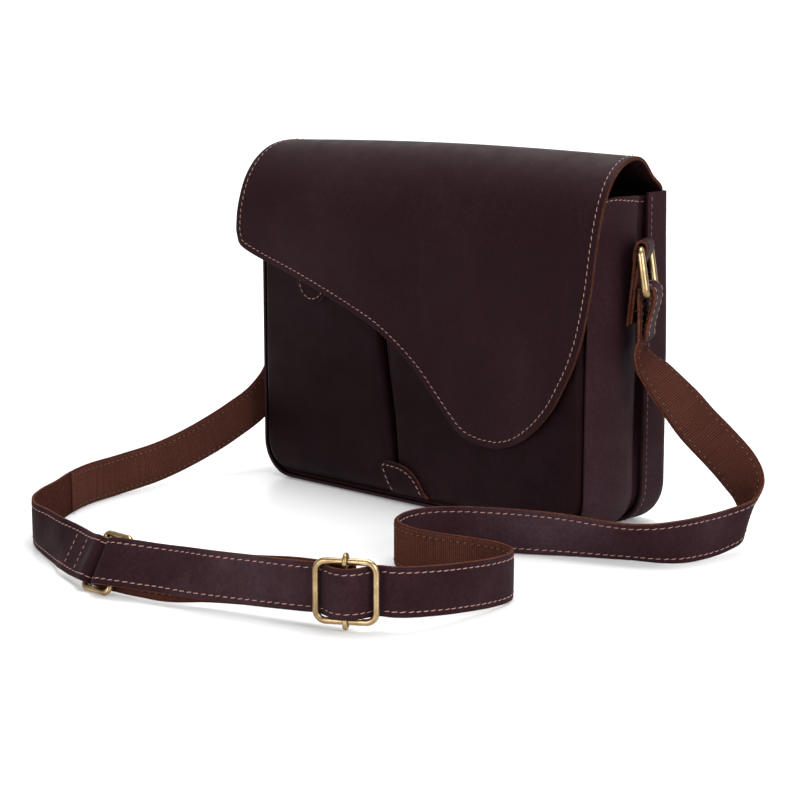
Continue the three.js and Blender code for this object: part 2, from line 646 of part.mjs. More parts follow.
function sideRingGeometry(hand) {
  const barSide = ringTab.leather / 2 + gap + sideRing.wire / 2;
  const head = vector(tabHead.x, tabHead.y, tabHead.z).addScaledVector(headTurn.out, barSide);
  const foot = vector(ringFoot.x, ringFoot.y, ringFoot.z);
  const up = head.clone().sub(foot).normalize();
  const centre = head.clone().add(foot).multiplyScalar(0.5);
  const width = sideRing.width - sideRing.wire;
  const height = head.distanceTo(foot);
  const corner = sideRing.corner - sideRing.wire / 2;
  const path = roundedRectangle(centre, headTurn.bar, up, width, height, corner, 3);
  const normal = mirrorX(headTurn.bar.clone().cross(up).normalize(), hand);
  return wireLoop(path.map((point) => mirrorX(point, hand)), normal, sideRing.wire / 2, 8);
}

// The loop over a side ring's lower bar; its running side is next to the bag on the right only
function ringLoopStations(hand) {
  return ringLoop.map((row) => {
    const middle = vector(ringFoot.x, ringFoot.y, ringFoot.z + row.up);
    middle.addScaledVector(headTurn.out, row.out * hand);
    return { middle: mirrorX(middle, hand), across: mirrorX(headTurn.bar, hand).multiplyScalar(hand) };
  });
}

const upright = vector(0, 0, 1);

function routeStations(rows) {
  return rows.map((row) => ({
    middle: vector(row.x, row.y, row.z),
    across: vector(row.acrossX, row.acrossY, row.acrossZ),
  }));
}

// Stations of a fold that stands at a place and heading; the bar it folds round may lean
function foldStations(rows, place, heading, z, across) {
  const along = vector(Math.cos(turned(heading)), Math.sin(turned(heading)), 0);
  const away = across.clone().cross(along).normalize();
  return rows.map((row) => {
    const middle = vector(place.x, place.y, z).addScaledVector(along, row.along);
    middle.addScaledVector(away, row.away).addScaledVector(across, row.up ?? 0);
    return { middle, across: across.clone() };
  });
}

function smoothStations(stations, steps) {
  const rows = stations.map(({ middle, across }) => ({
    x: middle.x,
    y: middle.y,
    z: middle.z,
    acrossX: across.x,
    acrossY: across.y,
    acrossZ: across.z,
  }));
  return routeStations(smoothRows(rows, steps, (a, b) => Math.hypot(a.x - b.x, a.y - b.y, a.z - b.z)));
}

const sliderReach = (slider.outer - slider.wire) / 2;
const eyeRadius = slider.wire / 2 + slider.eyeGap + slider.barWire / 2;
const sliderHeight = sliderReach + eyeRadius + slider.barWire / 2;
const leanBack = (degrees) => vector(0, Math.sin(turned(degrees)), Math.cos(turned(degrees)));
const adjusterUp = leanBack(adjusterRing.lean);
const adjusterRise = (adjusterRing.height - adjusterRing.wire) / 2;
const adjusterHeight = adjusterRise * adjusterUp.z + adjusterRing.wire / 2;
const adjusterReach = (adjusterRing.width - adjusterRing.wire) / 2;
const adjusterBar = (sign) => ({ x: adjusterPlace.x + sign * adjusterReach, y: adjusterPlace.y });
const longLoopEnd = {
  x: adjusterBar(1).x - longFoldSlack * Math.cos(turned(longFoldHeading)),
  y: adjusterBar(1).y - longFoldSlack * Math.sin(turned(longFoldHeading)),
};

const stationSteps = 2;

function longStrapStations() {
  const throughSlider = (rows) => foldStations(rows, sliderPlace, sliderPlace.heading, sliderHeight, upright);
  return smoothStations([
    ...ringLoopStations(1),
    ...routeStations(longStrapRoute),
    ...throughSlider(sliderPass),
    ...routeStations(frontLayer),
    ...foldStations(longFold, longLoopEnd, longFoldHeading, adjusterHeight, leanBack(longFoldLean)),
    ...routeStations(backLayer),
    ...throughSlider(sliderEnd),
  ], stationSteps);
}

function shortStrapStations() {
  return smoothStations([
    ...ringLoopStations(-1),
    ...routeStations(shortStrapRoute),
    ...foldStations(shortFold, adjusterBar(-1), shortFoldHeading, adjusterHeight, adjusterUp),
  ], stationSteps);
}

const webbingOffset = strap.leather / 2 + strap.webbingGap + strap.webbing / 2;

function adjusterRingGeometry() {
  const centre = vector(adjusterPlace.x, adjusterPlace.y, adjusterHeight);
  const width = adjusterRing.width - adjusterRing.wire;
  const height = adjusterRing.height - adjusterRing.wire;
  const corner = adjusterRing.corner - adjusterRing.wire / 2;
  const along = vector(1, 0, 0);
  const path = roundedRectangle(centre, along, adjusterUp, width, height, corner, 3);
  return wireLoop(path, along.cross(adjusterUp), adjusterRing.wire / 2, 8);
}

const sliderAlong = vector(Math.cos(turned(sliderPlace.heading)), Math.sin(turned(sliderPlace.heading)), 0);
const sliderAway = vector(-sliderAlong.y, sliderAlong.x, 0);
const sliderMiddle = vector(sliderPlace.x, sliderPlace.y, sliderHeight);

function sliderFrame() {
  const side = sliderReach * 2;
  const corner = slider.corner - slider.wire / 2;
  const path = roundedRectangle(sliderMiddle, sliderAlong, upright, side, side, corner, 4);
  return wireLoop(path, sliderAway, slider.wire / 2, 8);
}

// The middle bar, whose ends are bent into eyes round the frame's upper and lower wire
function sliderBar() {
  const eyeSides = 14;
  const rodLength = 2 * (sliderReach - eyeRadius);
  const rod = new THREE.CylinderGeometry(slider.barWire / 2, slider.barWire / 2, rodLength, 10);
  rod.rotateX(Math.PI / 2);
  rod.translate(sliderMiddle.x, sliderMiddle.y, sliderMiddle.z);
  rod.deleteAttribute('normal');
  rod.deleteAttribute('uv');
  let bar = solidOf(mergeVertices(rod));
  for (const end of [-1, 1]) {
    const centre = sliderMiddle.clone().addScaledVector(upright, end * sliderReach);
    const path = [];
    for (let i = 0; i < eyeSides; i += 1) {
      const angle = (2 * Math.PI * i) / eyeSides;
      const fromCentre = sliderAway.clone().multiplyScalar(Math.sin(angle));
      fromCentre.addScaledVector(upright, Math.cos(angle));
      path.push(centre.clone().addScaledVector(fromCentre, eyeRadius));
    }
    bar = bar.add(solidOf(wireLoop(path, sliderAlong, slider.barWire / 2, 8)));
  }
  return geometryOf(bar);
}

const leatherMaterial = new THREE.MeshStandardMaterial({ color: 0x2e1d21, roughness: 0.5, metalness: 0 });
const webbingMaterial = new THREE.MeshStandardMaterial({ color: 0x462218, roughness: 0.9, metalness: 0 });
const brassMaterial = new THREE.MeshStandardMaterial({ color: 0xbea573, roughness: 0.3, metalness: 1 });

const bagGroup = new THREE.Group();

function addPiece(name, geometry, material) {
  const mesh = new THREE.Mesh(geometry, material);
  mesh.name = name;
  bagGroup.add(mesh);
}

addPiece('back_panel', backPanel(), leatherMaterial);
addPiece('gusset', gusset(), leatherMaterial);
addPiece('front_panel', frontPanel(), leatherMaterial);
addPiece('pocket_left', pocketGeometry('left'), leatherMaterial);
addPiece('pocket_right', pocketGeometry('right'), leatherMaterial);
addPiece('pocket_patch', pocketPatch(), leatherMaterial);
addPiece('pocket_tab', pocketTab(), leatherMaterial);
addPiece('flap', flap(), leatherMaterial);
for (const [sideName, hand] of [['left', -1], ['right', 1]]) {
  addPiece(`ring_tab_${sideName}`, ringTabGeometry(hand), leatherMaterial);
  addPiece(`side_ring_${sideName}`, sideRingGeometry(hand), brassMaterial);
}

const longStations = longStrapStations();
addPiece('long_strap_leather', strip(longStations, strap.width, strap.leather, 0), leatherMaterial);
const webbing = (stations, offset) => strip(stations, strap.webbingWidth, strap.webbing, offset);
const longWebbed = longStations.slice(0, -stationSteps * longBareRows);
addPiece('long_strap_webbing', webbing(longWebbed, webbingOffset), webbingMaterial);

const shortStations = shortStrapStations();
const shortWebbed = shortStations.slice(0, stationSteps * (ringLoop.length + shortWebbedRows) + 1);
addPiece('short_strap_leather', strip(shortStations, strap.width, strap.leather, 0), leatherMaterial);
addPiece('short_strap_webbing', webbing(shortWebbed, -webbingOffset), webbingMaterial);

addPiece('adjuster_ring', adjusterRingGeometry(), brassMaterial);
addPiece('slider_frame', sliderFrame(), brassMaterial);
addPiece('slider_bar', sliderBar(), brassMaterial);

export default bagGroup;
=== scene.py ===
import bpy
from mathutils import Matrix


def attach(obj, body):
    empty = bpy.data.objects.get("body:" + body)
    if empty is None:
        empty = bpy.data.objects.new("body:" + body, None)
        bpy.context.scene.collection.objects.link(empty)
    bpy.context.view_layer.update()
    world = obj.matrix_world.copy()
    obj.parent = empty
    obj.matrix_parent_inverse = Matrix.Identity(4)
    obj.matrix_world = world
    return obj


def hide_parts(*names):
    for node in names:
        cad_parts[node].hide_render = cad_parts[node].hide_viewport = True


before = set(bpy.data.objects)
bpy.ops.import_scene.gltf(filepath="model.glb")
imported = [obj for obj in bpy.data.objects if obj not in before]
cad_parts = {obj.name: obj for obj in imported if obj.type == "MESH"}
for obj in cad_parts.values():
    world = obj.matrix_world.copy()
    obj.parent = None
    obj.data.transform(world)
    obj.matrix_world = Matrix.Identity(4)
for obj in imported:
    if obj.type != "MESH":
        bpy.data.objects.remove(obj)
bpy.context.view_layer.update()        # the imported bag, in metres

import math

import bpy
import numpy as np
from mathutils import Vector, noise

mm = 0.001               # every table below is in millimetres
scene = bpy.context.scene
print("bag frame loaded:", len(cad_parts), "solids")

# camera first, so that the framing is fixed before anything is dressed
photoCamera = {
    "place": (979.8, -1057.0, 332.1),
    "lookAt": (-27.2, -26.6, 72.3),
    "lens": 90.1,
    "sensor": 36,
    "clip": (0.05, 50),      # metres
}
cameraData = bpy.data.cameras.new("photoCamera")
cameraData.lens = photoCamera["lens"]
cameraData.sensor_width = photoCamera["sensor"]
cameraData.clip_start, cameraData.clip_end = photoCamera["clip"]
camera = bpy.data.objects.new("photoCamera", cameraData)
scene.collection.objects.link(camera)
camera.location = Vector(photoCamera["place"]) * mm
sight = (Vector(photoCamera["lookAt"]) - Vector(photoCamera["place"])).normalized()
camera.rotation_mode = "QUATERNION"
camera.rotation_quaternion = sight.to_track_quat("-Z", "Y")
scene.camera = camera
print("camera set")


# finishes

# sockets are linked to a node's inputs, plain values are set on them
def fillInputs(material, node, inputs):
    for key, value in inputs.items():
        if isinstance(value, bpy.types.NodeSocket):
            material.node_tree.links.new(value, node.inputs[key])
        else:
            node.inputs[key].default_value = value
    return node


def addNode(material, kind, inputs):
    return fillInputs(material, material.node_tree.nodes.new(kind), inputs)


def startFinish(name, roughness, metallic=0.0, specular=0.5, tint=(1.0, 1.0, 1.0)):
    material = bpy.data.materials.new(name)
    material.use_nodes = True
    shader = material.node_tree.nodes["Principled BSDF"]
    fillInputs(material, shader, {"Roughness": roughness, "Metallic": metallic,
                                  "Specular IOR Level": specular, "Specular Tint": (*tint, 1)})
    return material, shader, addNode(material, "ShaderNodeTexCoord", {}).outputs["Object"]


def cloudNoise(material, where, scale, detail=3.0, roughness=0.55, stretch=None):
    if stretch:
        mapping = addNode(material, "ShaderNodeMapping", {"Vector": where, "Scale": stretch})
        where = mapping.outputs["Vector"]
    inputs = {"Vector": where, "Scale": scale, "Detail": detail, "Roughness": roughness}
    return addNode(material, "ShaderNodeTexNoise", inputs).outputs["Fac"]


def poreCells(material, where, scale):
    cells = addNode(material, "ShaderNodeTexVoronoi", {"Vector": where, "Scale": scale})
    cells.feature = "SMOOTH_F1"
    return cells.outputs["Distance"]


def colourRamp(material, fac, stops):
    ramp = addNode(material, "ShaderNodeValToRGB", {"Fac": fac})
    while len(ramp.color_ramp.elements) < len(stops):
        ramp.color_ramp.elements.new(0.5)
    for element, (place, colour) in zip(ramp.color_ramp.elements, stops):
        element.position = place
        element.color = (*colour, 1)
    return ramp.outputs["Color"]


def valueRange(material, fac, low, high, fromLow=0.3, fromHigh=0.7):
    inputs = {"Value": fac, "From Min": fromLow, "From Max": fromHigh, "To Min": low, "To Max": high}
    return addNode(material, "ShaderNodeMapRange", inputs).outputs["Result"]


mixSockets = {"first": 6, "second": 7, "mixed": 2}       # the colour sockets of a Mix node


def mixColour(material, fac, first, second, blend="MIX"):
    mixer = material.node_tree.nodes.new("ShaderNodeMix")
    mixer.data_type = "RGBA"
    mixer.blend_type = blend
    fillInputs(material, mixer, {"Factor": fac, mixSockets["first"]: first, mixSockets["second"]: second})
    return mixer.outputs[mixSockets["mixed"]]


# links the colour and the layers of relief, each a height with its strength and depth
def finishWith(material, shader, colour, layers):
    normal = {}
    for height, strength, depth in layers:
        inputs = {"Height": height, "Strength": strength, "Distance": depth * mm, **normal}
        normal = {"Normal": addNode(material, "ShaderNodeBump", inputs).outputs["Normal"]}
    fillInputs(material, shader, {"Base Color": colour, **normal})
    return material


# linear colours of the bag's finishes
hideColours = {
    "deep": (0.0085, 0.0022, 0.0030),
    "body": (0.0150, 0.0044, 0.0060),
    "pulled": (0.0270, 0.0102, 0.0132),  # where the oily hide is rubbed or bent
    "sheen": (1.0, 0.70, 0.82),          # the oil gives the gloss a plum cast
    "rawDark": (0.034, 0.0100, 0.0060),
    "rawLight": (0.150, 0.050, 0.0270),
    "fleshDark": (0.024, 0.0066, 0.0048),
    "fleshLight": (0.056, 0.0172, 0.0126),
    "liningDark": (0.0090, 0.0038, 0.0034),
    "liningLight": (0.0220, 0.0090, 0.0080),
    "weaveDark": (0.036, 0.0118, 0.0078),
    "weaveLight": (0.092, 0.033, 0.0235),
}


def shadeOf(key, lift, cast=(1.0, 1.0, 1.0)):
    return tuple(lift * part * c for part, c in zip(cast, hideColours[key]))


# noise is given as scale, detail, roughness and stretch, relief as strength and depth in millimetres
hideGrain = {
    "broad": (8.0, 4.0, 0.6), "streaks": (26.0, 5.0, 0.7, (1.0, 1.0, 0.22)),
    "worn": (0.0, 0.38, 0.56, 0.8), "fine": (420.0, 2.0),
    "speckle": [(0.3, (0.72, 0.70, 0.70)), (0.7, (1.0, 1.0, 1.0))],
    "gloss": (55.0, 4.0), "glossier": 0.07, "duller": 0.09, "pores": 820.0,
    "poreRelief": (0.22, 0.14), "fineRelief": (0.14, 0.12), "streakRelief": (0.10, 0.6),
}


def oiledHide(name, roughness, specular, lift, cast=(1.0, 1.0, 1.0), spread=0.22, grain=hideGrain):
    material, shader, where = startFinish(name, roughness, 0.0, specular, hideColours["sheen"])
    deep, body, pulled = (shadeOf(key, lift, cast) for key in ("deep", "body", "pulled"))
    broad = cloudNoise(material, where, *grain["broad"])
    hide = colourRamp(material, broad, [(0.5 - spread, deep), (0.5, body), (0.5 + spread, pulled)])
    streaks = cloudNoise(material, where, *grain["streaks"])
    hide = mixColour(material, valueRange(material, streaks, *grain["worn"]), hide, (*pulled, 1))
    fine = cloudNoise(material, where, *grain["fine"])
    hide = mixColour(material, 1.0, hide, colourRamp(material, fine, grain["speckle"]), "MULTIPLY")
    gloss = cloudNoise(material, where, *grain["gloss"])
    gloss = valueRange(material, gloss, roughness - grain["glossier"], roughness + grain["duller"])
    fillInputs(material, shader, {"Roughness": gloss})
    pores = poreCells(material, where, grain["pores"])
    return finishWith(material, shader, hide, [(pores, *grain["poreRelief"]), (fine, *grain["fineRelief"]),
                                               (streaks, *grain["streakRelief"])])


# raw edges, suede and webbing: fine fibres from dark to light, with darker patches
fibreKinds = {
    "edge": {"surface": (0.9, 0.0, 0.06), "fine": (620.0, 4.0, 0.7), "broad": (60.0, 3.0),
             "stops": (0.34, 0.70), "fade": 0.5, "relief": (0.5, 0.35)},
    "suede": {"surface": (0.95, 0.0, 0.02), "fine": (300.0, 5.0, 0.7), "broad": (18.0, 3.0),
              "stops": (0.3, 0.7), "fade": 0.5, "relief": (0.4, 0.3)},
    "weave": {"surface": (0.95, 0.0, 0.02), "fine": (1500.0, 2.0), "broad": (30.0, 3.0),
              "stops": (0.25, 0.75), "fade": 0.35, "relief": (0.5, 0.25)},
}


def fibrous(name, kind, dark, light, depth=1.0):
    form = fibreKinds[kind]
    material, shader, where = startFinish(name, *form["surface"])
    fine = cloudNoise(material, where, *form["fine"])
    broad = cloudNoise(material, where, *form["broad"])
    dark, light = shadeOf(dark, depth), shadeOf(light, depth)
    colour = colourRamp(material, fine, list(zip(form["stops"], (dark, light))))
    colour = mixColour(material, valueRange(material, broad, 0.0, form["fade"]), colour, (*dark, 1))
    return finishWith(material, shader, colour, [(fine, *form["relief"])])


threadForm = {
    "surface": (0.7, 0.0, 0.3), "twist": (1300.0, 2.0), "stops": (0.3, 0.65), "relief": (0.45, 0.2),
}
brassForm = {
    "surface": (0.3, 1.0, 0.5), "patina": (75.0, 5.0, 0.65), "scuffs": (900.0, 3.0), "gloss": (0.36, 0.25),
    "stops": [(0.30, (0.19, 0.124, 0.058)), (0.55, (0.40, 0.282, 0.148)), (0.8, (0.54, 0.40, 0.23))],
    "scuffRelief": (0.025, 0.1), "patinaRelief": (0.03, 0.5),
}


def waxedThread(name, light, dark, form=threadForm):
    material, shader, where = startFinish(name, *form["surface"])
    twist = cloudNoise(material, where, *form["twist"])
    colour = colourRamp(material, twist, list(zip(form["stops"], (dark, light))))
    return finishWith(material, shader, colour, [(twist, *form["relief"])])


def agedBrass(name, form=brassForm):
    material, shader, where = startFinish(name, *form["surface"])
    patina = cloudNoise(material, where, *form["patina"])
    scuffs = cloudNoise(material, where, *form["scuffs"])
    fillInputs(material, shader, {"Roughness": valueRange(material, patina, *form["gloss"])})
    return finishWith(material, shader, colourRamp(material, patina, form["stops"]),
                      [(scuffs, *form["scuffRelief"]), (patina, *form["patinaRelief"])])


flapHide = oiledHide("flapHide", roughness=0.52, specular=0.07, lift=1.14,
                     cast=(1.0, 1.18, 1.14), spread=0.36)
bodyHide = oiledHide("bodyHide", roughness=0.56, specular=0.045, lift=1.75,
                     cast=(1.0, 1.4, 1.35), spread=0.34)
# a darker copy of the hide for the pockets, patch and tab: painted shade, since they sit under the flap
shadedPocketHide = oiledHide("shadedPocketHide", roughness=0.58, specular=0.08, lift=0.5)
strapHide = oiledHide("strapHide", roughness=0.60, specular=0.02, lift=1.75,
                      cast=(1.0, 1.5, 1.4), spread=0.2)
cutEdge = fibrous("cutEdge", "edge", "rawDark", "rawLight")
flapEdge = fibrous("flapEdge", "edge", "rawDark", "rawLight", depth=0.62)
innerSuede = fibrous("innerSuede", "suede", "fleshDark", "fleshLight")
darkLining = fibrous("darkLining", "suede", "liningDark", "liningLight")
strapWebbing = fibrous("strapWebbing", "weave", "weaveDark", "weaveLight", depth=1.1)
# a darker copy of the webbing for the rib grooves: painted shade in the grooves
webGrooveShade = fibrous("webGrooveShade", "weave", "weaveDark", "weaveLight", depth=0.55)
seamThread = waxedThread("seamThread", light=(0.43, 0.225, 0.195), dark=(0.21, 0.096, 0.081))
# a darker copy of the seam thread for the back lap: painted shade over the lap stitches
shadedLapThread = waxedThread("shadedLapThread", light=(0.20, 0.105, 0.092), dark=(0.10, 0.046, 0.039))
# near-black discs at the needle holes: painted shade inside the holes, which are not cut into the hide
needleHoleShade = waxedThread("needleHoleShade", light=(0.004, 0.0014, 0.0012), dark=(0.002, 0.0007, 0.0006))
webThread = waxedThread("webThread", light=(0.17, 0.088, 0.062), dark=(0.085, 0.040, 0.028))
brass = agedBrass("agedBrass")
print("finishes mixed")


# making tools

def smoothRows(rows, steps, measured=(0, 1, 2)):
    rows = np.array(rows, float)
    gaps = np.linalg.norm(np.diff(rows[:, measured], axis=0), axis=1)
    rise = np.diff(rows, axis=0) / gaps[:, None]
    last = len(gaps) - 1
    before = np.maximum(np.arange(len(rows)) - 1, 0)
    after = np.minimum(np.arange(len(rows)), last)
    weights = (gaps[before] + gaps[after])[:, None]
    slope = (rise[after] * gaps[before][:, None] + rise[before] * gaps[after][:, None]) / weights
    t = (np.arange(steps) / steps)[:, None]
    made = []
    for i in range(last + 1):
        made.append((2 * t**3 - 3 * t**2 + 1) * rows[i] + (t**3 - 2 * t**2 + t) * slope[i] * gaps[i]
                    + (3 * t**2 - 2 * t**3) * rows[i + 1] + (t**3 - t**2) * slope[i + 1] * gaps[i])
    made.append(rows[-1:])
    return np.vstack(made)


def runLength(points):
    return np.r_[0, np.cumsum(np.linalg.norm(np.diff(points, axis=0), axis=1))]


def pointAt(path, along, place):
    return np.stack([np.interp(place, along, column) for column in path.T], axis=-1)


def evenRows(rows, spacing, measured=(0, 1, 2)):
    along = runLength(rows[:, measured])
    count = max(int(round(along[-1] / spacing)), 2)
    return pointAt(rows, along, np.linspace(0, along[-1], count + 1))


def unit(vectors):
    return vectors / np.maximum(np.linalg.norm(vectors, axis=-1, keepdims=True), 1e-9)


def facing(direction, count):
    return np.tile(np.array(direction, float), (count, 1))


def circleAngles(count):
    return np.arange(count) * 2 * np.pi / count


def gridMesh(grid):
    rows, columns = grid.shape[:2]
    r, c = np.meshgrid(np.arange(rows - 1), np.arange(columns - 1), indexing="ij")
    a = (r * columns + c).ravel()
    return grid.reshape(-1, 3), np.stack([a, a + columns, a + columns + 1, a + 1], axis=1)


def tubeQuads(rows, sides, closed=False):
    i, j = np.meshgrid(np.arange(rows if closed else rows - 1), np.arange(sides), indexing="ij")
    here, ahead, nextJ = i * sides, (i + 1) % rows * sides, (j + 1) % sides
    return np.stack([here + j, ahead + j, ahead + nextJ, here + nextJ], axis=-1).reshape(-1, 4)


seedDrift = 0.7          # moves the noise sideways as its seed moves it along


def softNoise(points, size, seed):
    shift = Vector((seed, seedDrift * seed, 0.0))
    return np.array([noise.noise(Vector(p) / size + shift) for p in points])


def makePiece(name, points, faces, finishes, finishOf=None, nodes=()):
    mesh = bpy.data.meshes.new(name)
    faces = [list(map(int, face)) for face in faces]
    mesh.from_pydata((np.asarray(points, float) * mm).tolist(), [], faces)
    for finish in finishes:
        mesh.materials.append(finish)
    if finishOf is not None:
        mesh.polygons.foreach_set("material_index", np.asarray(finishOf, np.int32))
    mesh.polygons.foreach_set("use_smooth", np.ones(len(mesh.polygons), bool))
    mesh.update()
    piece = bpy.data.objects.new(name, mesh)
    scene.collection.objects.link(piece)
    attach(piece, "root")
    if nodes:
        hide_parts(*nodes)
    return piece


# a hide panel: its grain face is the surface, the flesh side and the cut rim are added behind it
rimForm = {"round": 0.45, "segments": 2, "angle": 55}


def hidePanel(name, surface, inside, thickness, nodes, grain, rim=cutEdge, rimRound=rimForm["round"]):
    points, faces = surface
    corners = points[faces]
    outward = np.cross(corners[:, 2] - corners[:, 0], corners[:, 3] - corners[:, 1])
    if np.sum(outward * (corners.mean(axis=1) - np.array(inside, float))) < 0:
        faces = faces[:, ::-1]
    piece = makePiece(name, points, faces, [grain, darkLining, rim], None, nodes)
    wall = piece.modifiers.new("wall", "SOLIDIFY")
    wall.thickness = thickness * mm
    wall.offset = -1
    wall.use_quality_normals = True
    wall.material_offset = 1
    wall.material_offset_rim = 2
    easedRim = piece.modifiers.new("easedRim", "BEVEL")
    easedRim.width = rimRound * mm
    easedRim.segments = rimForm["segments"]
    easedRim.limit_method = "ANGLE"
    easedRim.angle_limit = math.radians(rimForm["angle"])
    return piece


# rows of single stitches, each a small bowed cylinder of thread with its ends in the hide
stitchForm = {
    "sides": 6, "rings": 6, "pitch": 4.7, "length": 3.9, "width": 0.62, "flatness": 0.8,
    "lift": 0.26, "sink": 0.5, "bowPower": 3, "swellPower": 3.2, "swellLeast": 0.06,
    "seed": 11, "shift": 0.25, "lean": 9.0, "leanSpread": 4.0, "stretch": (0.93, 1.05), "tangent": 1.5,
    "hole": (0.75, 0.5), "holeLift": 0.07,
}


def stitchRows(name, paths, thread, lean=stitchForm["lean"], form=stitchForm):
    random = np.random.RandomState(form["seed"])
    sides, pitch = form["sides"], form["pitch"]
    t = np.linspace(-1, 1, form["rings"])
    angle = circleAngles(sides)
    swell = np.sqrt(np.clip(1 - np.abs(t) ** form["swellPower"], form["swellLeast"], 1))
    thickness = form["width"] / 2 * swell[:, None, None]
    bow = form["lift"] - (form["lift"] + form["sink"]) * np.abs(t) ** form["bowPower"]
    quads = tubeQuads(form["rings"], sides)
    holeLength, holeWidth = form["hole"]
    points, faces, holes = [], [], []
    for path, outs in paths:
        along = runLength(path)
        count = int(along[-1] // pitch)
        for place in (along[-1] - count * pitch) / 2 + (np.arange(count) + 0.5) * pitch:
            place += random.uniform(-form["shift"], form["shift"])
            middle = pointAt(path, along, place)
            out = unit(pointAt(outs, along, place))
            ahead = pointAt(path, along, place + form["tangent"])
            way = unit(ahead - pointAt(path, along, place - form["tangent"]))
            side = unit(np.cross(out, way))
            turn = math.radians(lean + random.uniform(-form["leanSpread"], form["leanSpread"]))
            c, s = math.cos(turn), math.sin(turn)
            way, side = way * c + side * s, side * c - way * s
            reach = form["length"] * random.uniform(*form["stretch"]) / 2
            spine = middle + np.outer(t * reach, way) + np.outer(bow, out)
            ring = np.outer(np.cos(angle), side) + form["flatness"] * np.outer(np.sin(angle), out)
            faces.append(quads + len(points) * form["rings"] * sides)
            points.append((spine[:, None, :] + thickness * ring[None]).reshape(-1, 3))
            # a near-black disc at each needle hole paints the shade inside it
            end = pointAt(path, along, place + pitch / 2) + out * form["holeLift"]
            holes.append(end + holeLength * np.outer(np.cos(angle), way)
                         + holeWidth * np.outer(np.sin(angle), side))
    threads = np.vstack(points)
    rims = (len(threads) + np.arange(len(holes) * sides)).reshape(-1, sides).tolist()
    faces = np.vstack(faces).tolist()
    return makePiece(name, np.vstack([threads, *holes]), faces + rims, [thread, needleHoleShade],
                     [0] * len(faces) + [1] * len(rims))


# a closed loop of round wire
def wireMesh(path, normal, radius, sides):
    normal = np.asarray(normal, float)
    radius = np.broadcast_to(radius, len(path))[:, None, None]
    way = unit(np.roll(path, -1, axis=0) - np.roll(path, 1, axis=0))
    outward = unit(np.cross(way, normal))
    angle = circleAngles(sides)
    points = path[:, None] + radius * (np.cos(angle)[None, :, None] * outward[:, None]
                                       + np.sin(angle)[None, :, None] * normal)
    return points.reshape(-1, 3), tubeQuads(len(path), sides, True)


def brassPiece(name, node, points, quads):
    makePiece(name, points, quads, [brass], None, [node])


def roundedFrame(centre, along, up, width, height, corner, cornerSteps=9, straightStep=3.0):
    centre, along, up = (np.asarray(v, float) for v in (centre, along, up))
    path = []
    for turn, (signAlong, signUp) in enumerate(((1, 1), (-1, 1), (-1, -1), (1, -1))):
        for step in range(cornerSteps + 1):
            angle = math.pi / 2 * (turn + step / cornerSteps)
            reach = signAlong * (width / 2 - corner) + corner * math.cos(angle)
            rise = signUp * (height / 2 - corner) + corner * math.sin(angle)
            path.append(centre + along * reach + up * rise)
    path.append(path[0])
    dense = [path[0]]
    for start, end in zip(path, path[1:]):
        pieces = max(int(np.linalg.norm(end - start) // straightStep), 1)
        dense += [start + (end - start) * (k + 1) / pieces for k in range(pieces)]
    return np.array(dense[:-1])


def joinParts(parts):
    points, faces, start = [], [], 0
    for partPoints, partFaces in parts:
        points.append(partPoints)
        faces.append(np.asarray(partFaces) + start)
        start += len(partPoints)
    return np.vstack(points), np.vstack(faces)


# the bag's body

bodySizes = {
    "halfWidth": 160.0, "gussetTop": 230.0, "backTop": 231.0, "wall": 2.0,
    "lapFront": 20.0, "lapStitch": 3.6, "lapSteps": 8, "rear": 45.0, "fold": 8.0, "foldSteps": 8,
    "bulge": 5.0, "bulgeHeight": 60.0, "backCorner": 29.0,
    "sideSteps": 48, "topCrowding": 1.3, "cornerSteps": 16, "baseSteps": 50,
}


def bodyOutline(inset, top, corner, sizes=bodySizes):
    half = sizes["halfWidth"]
    fall = np.linspace(0, 1, sizes["sideSteps"], endpoint=False) ** sizes["topCrowding"]
    sideZ = top - (top - corner) * fall
    angle = np.linspace(0, np.pi / 2, sizes["cornerSteps"] + 1)
    radius = corner - inset
    x = np.r_[np.full(len(sideZ), half - inset), half - corner + radius * np.cos(angle)]
    z = np.r_[sideZ, corner - radius * np.sin(angle)]
    outX = np.r_[np.ones(len(sideZ)), np.cos(angle)]
    outZ = np.r_[np.zeros(len(sideZ)), -np.sin(angle)]
    side = np.r_[np.ones(len(sideZ)), 1 - angle / (np.pi / 2)]
    base = np.linspace(-1, 1, sizes["baseSteps"] + 1)[1:-1] * (half - corner)
    flat = np.zeros(len(base))
    return {
        "x": np.r_[-x, base, x[::-1]],
        "z": np.r_[z, flat + inset, z[::-1]],
        "outX": np.r_[-outX, flat, outX[::-1]],
        "outZ": np.r_[outZ, flat - 1, outZ[::-1]],
        "side": np.r_[side, flat, side[::-1]],
    }


def outlineAt(line, y):
    return np.stack([line["x"], np.full(len(line["x"]), y), line["z"]], axis=1)


def outlineFacing(line):
    return np.stack([line["outX"], np.zeros(len(line["x"])), line["outZ"]], axis=1)


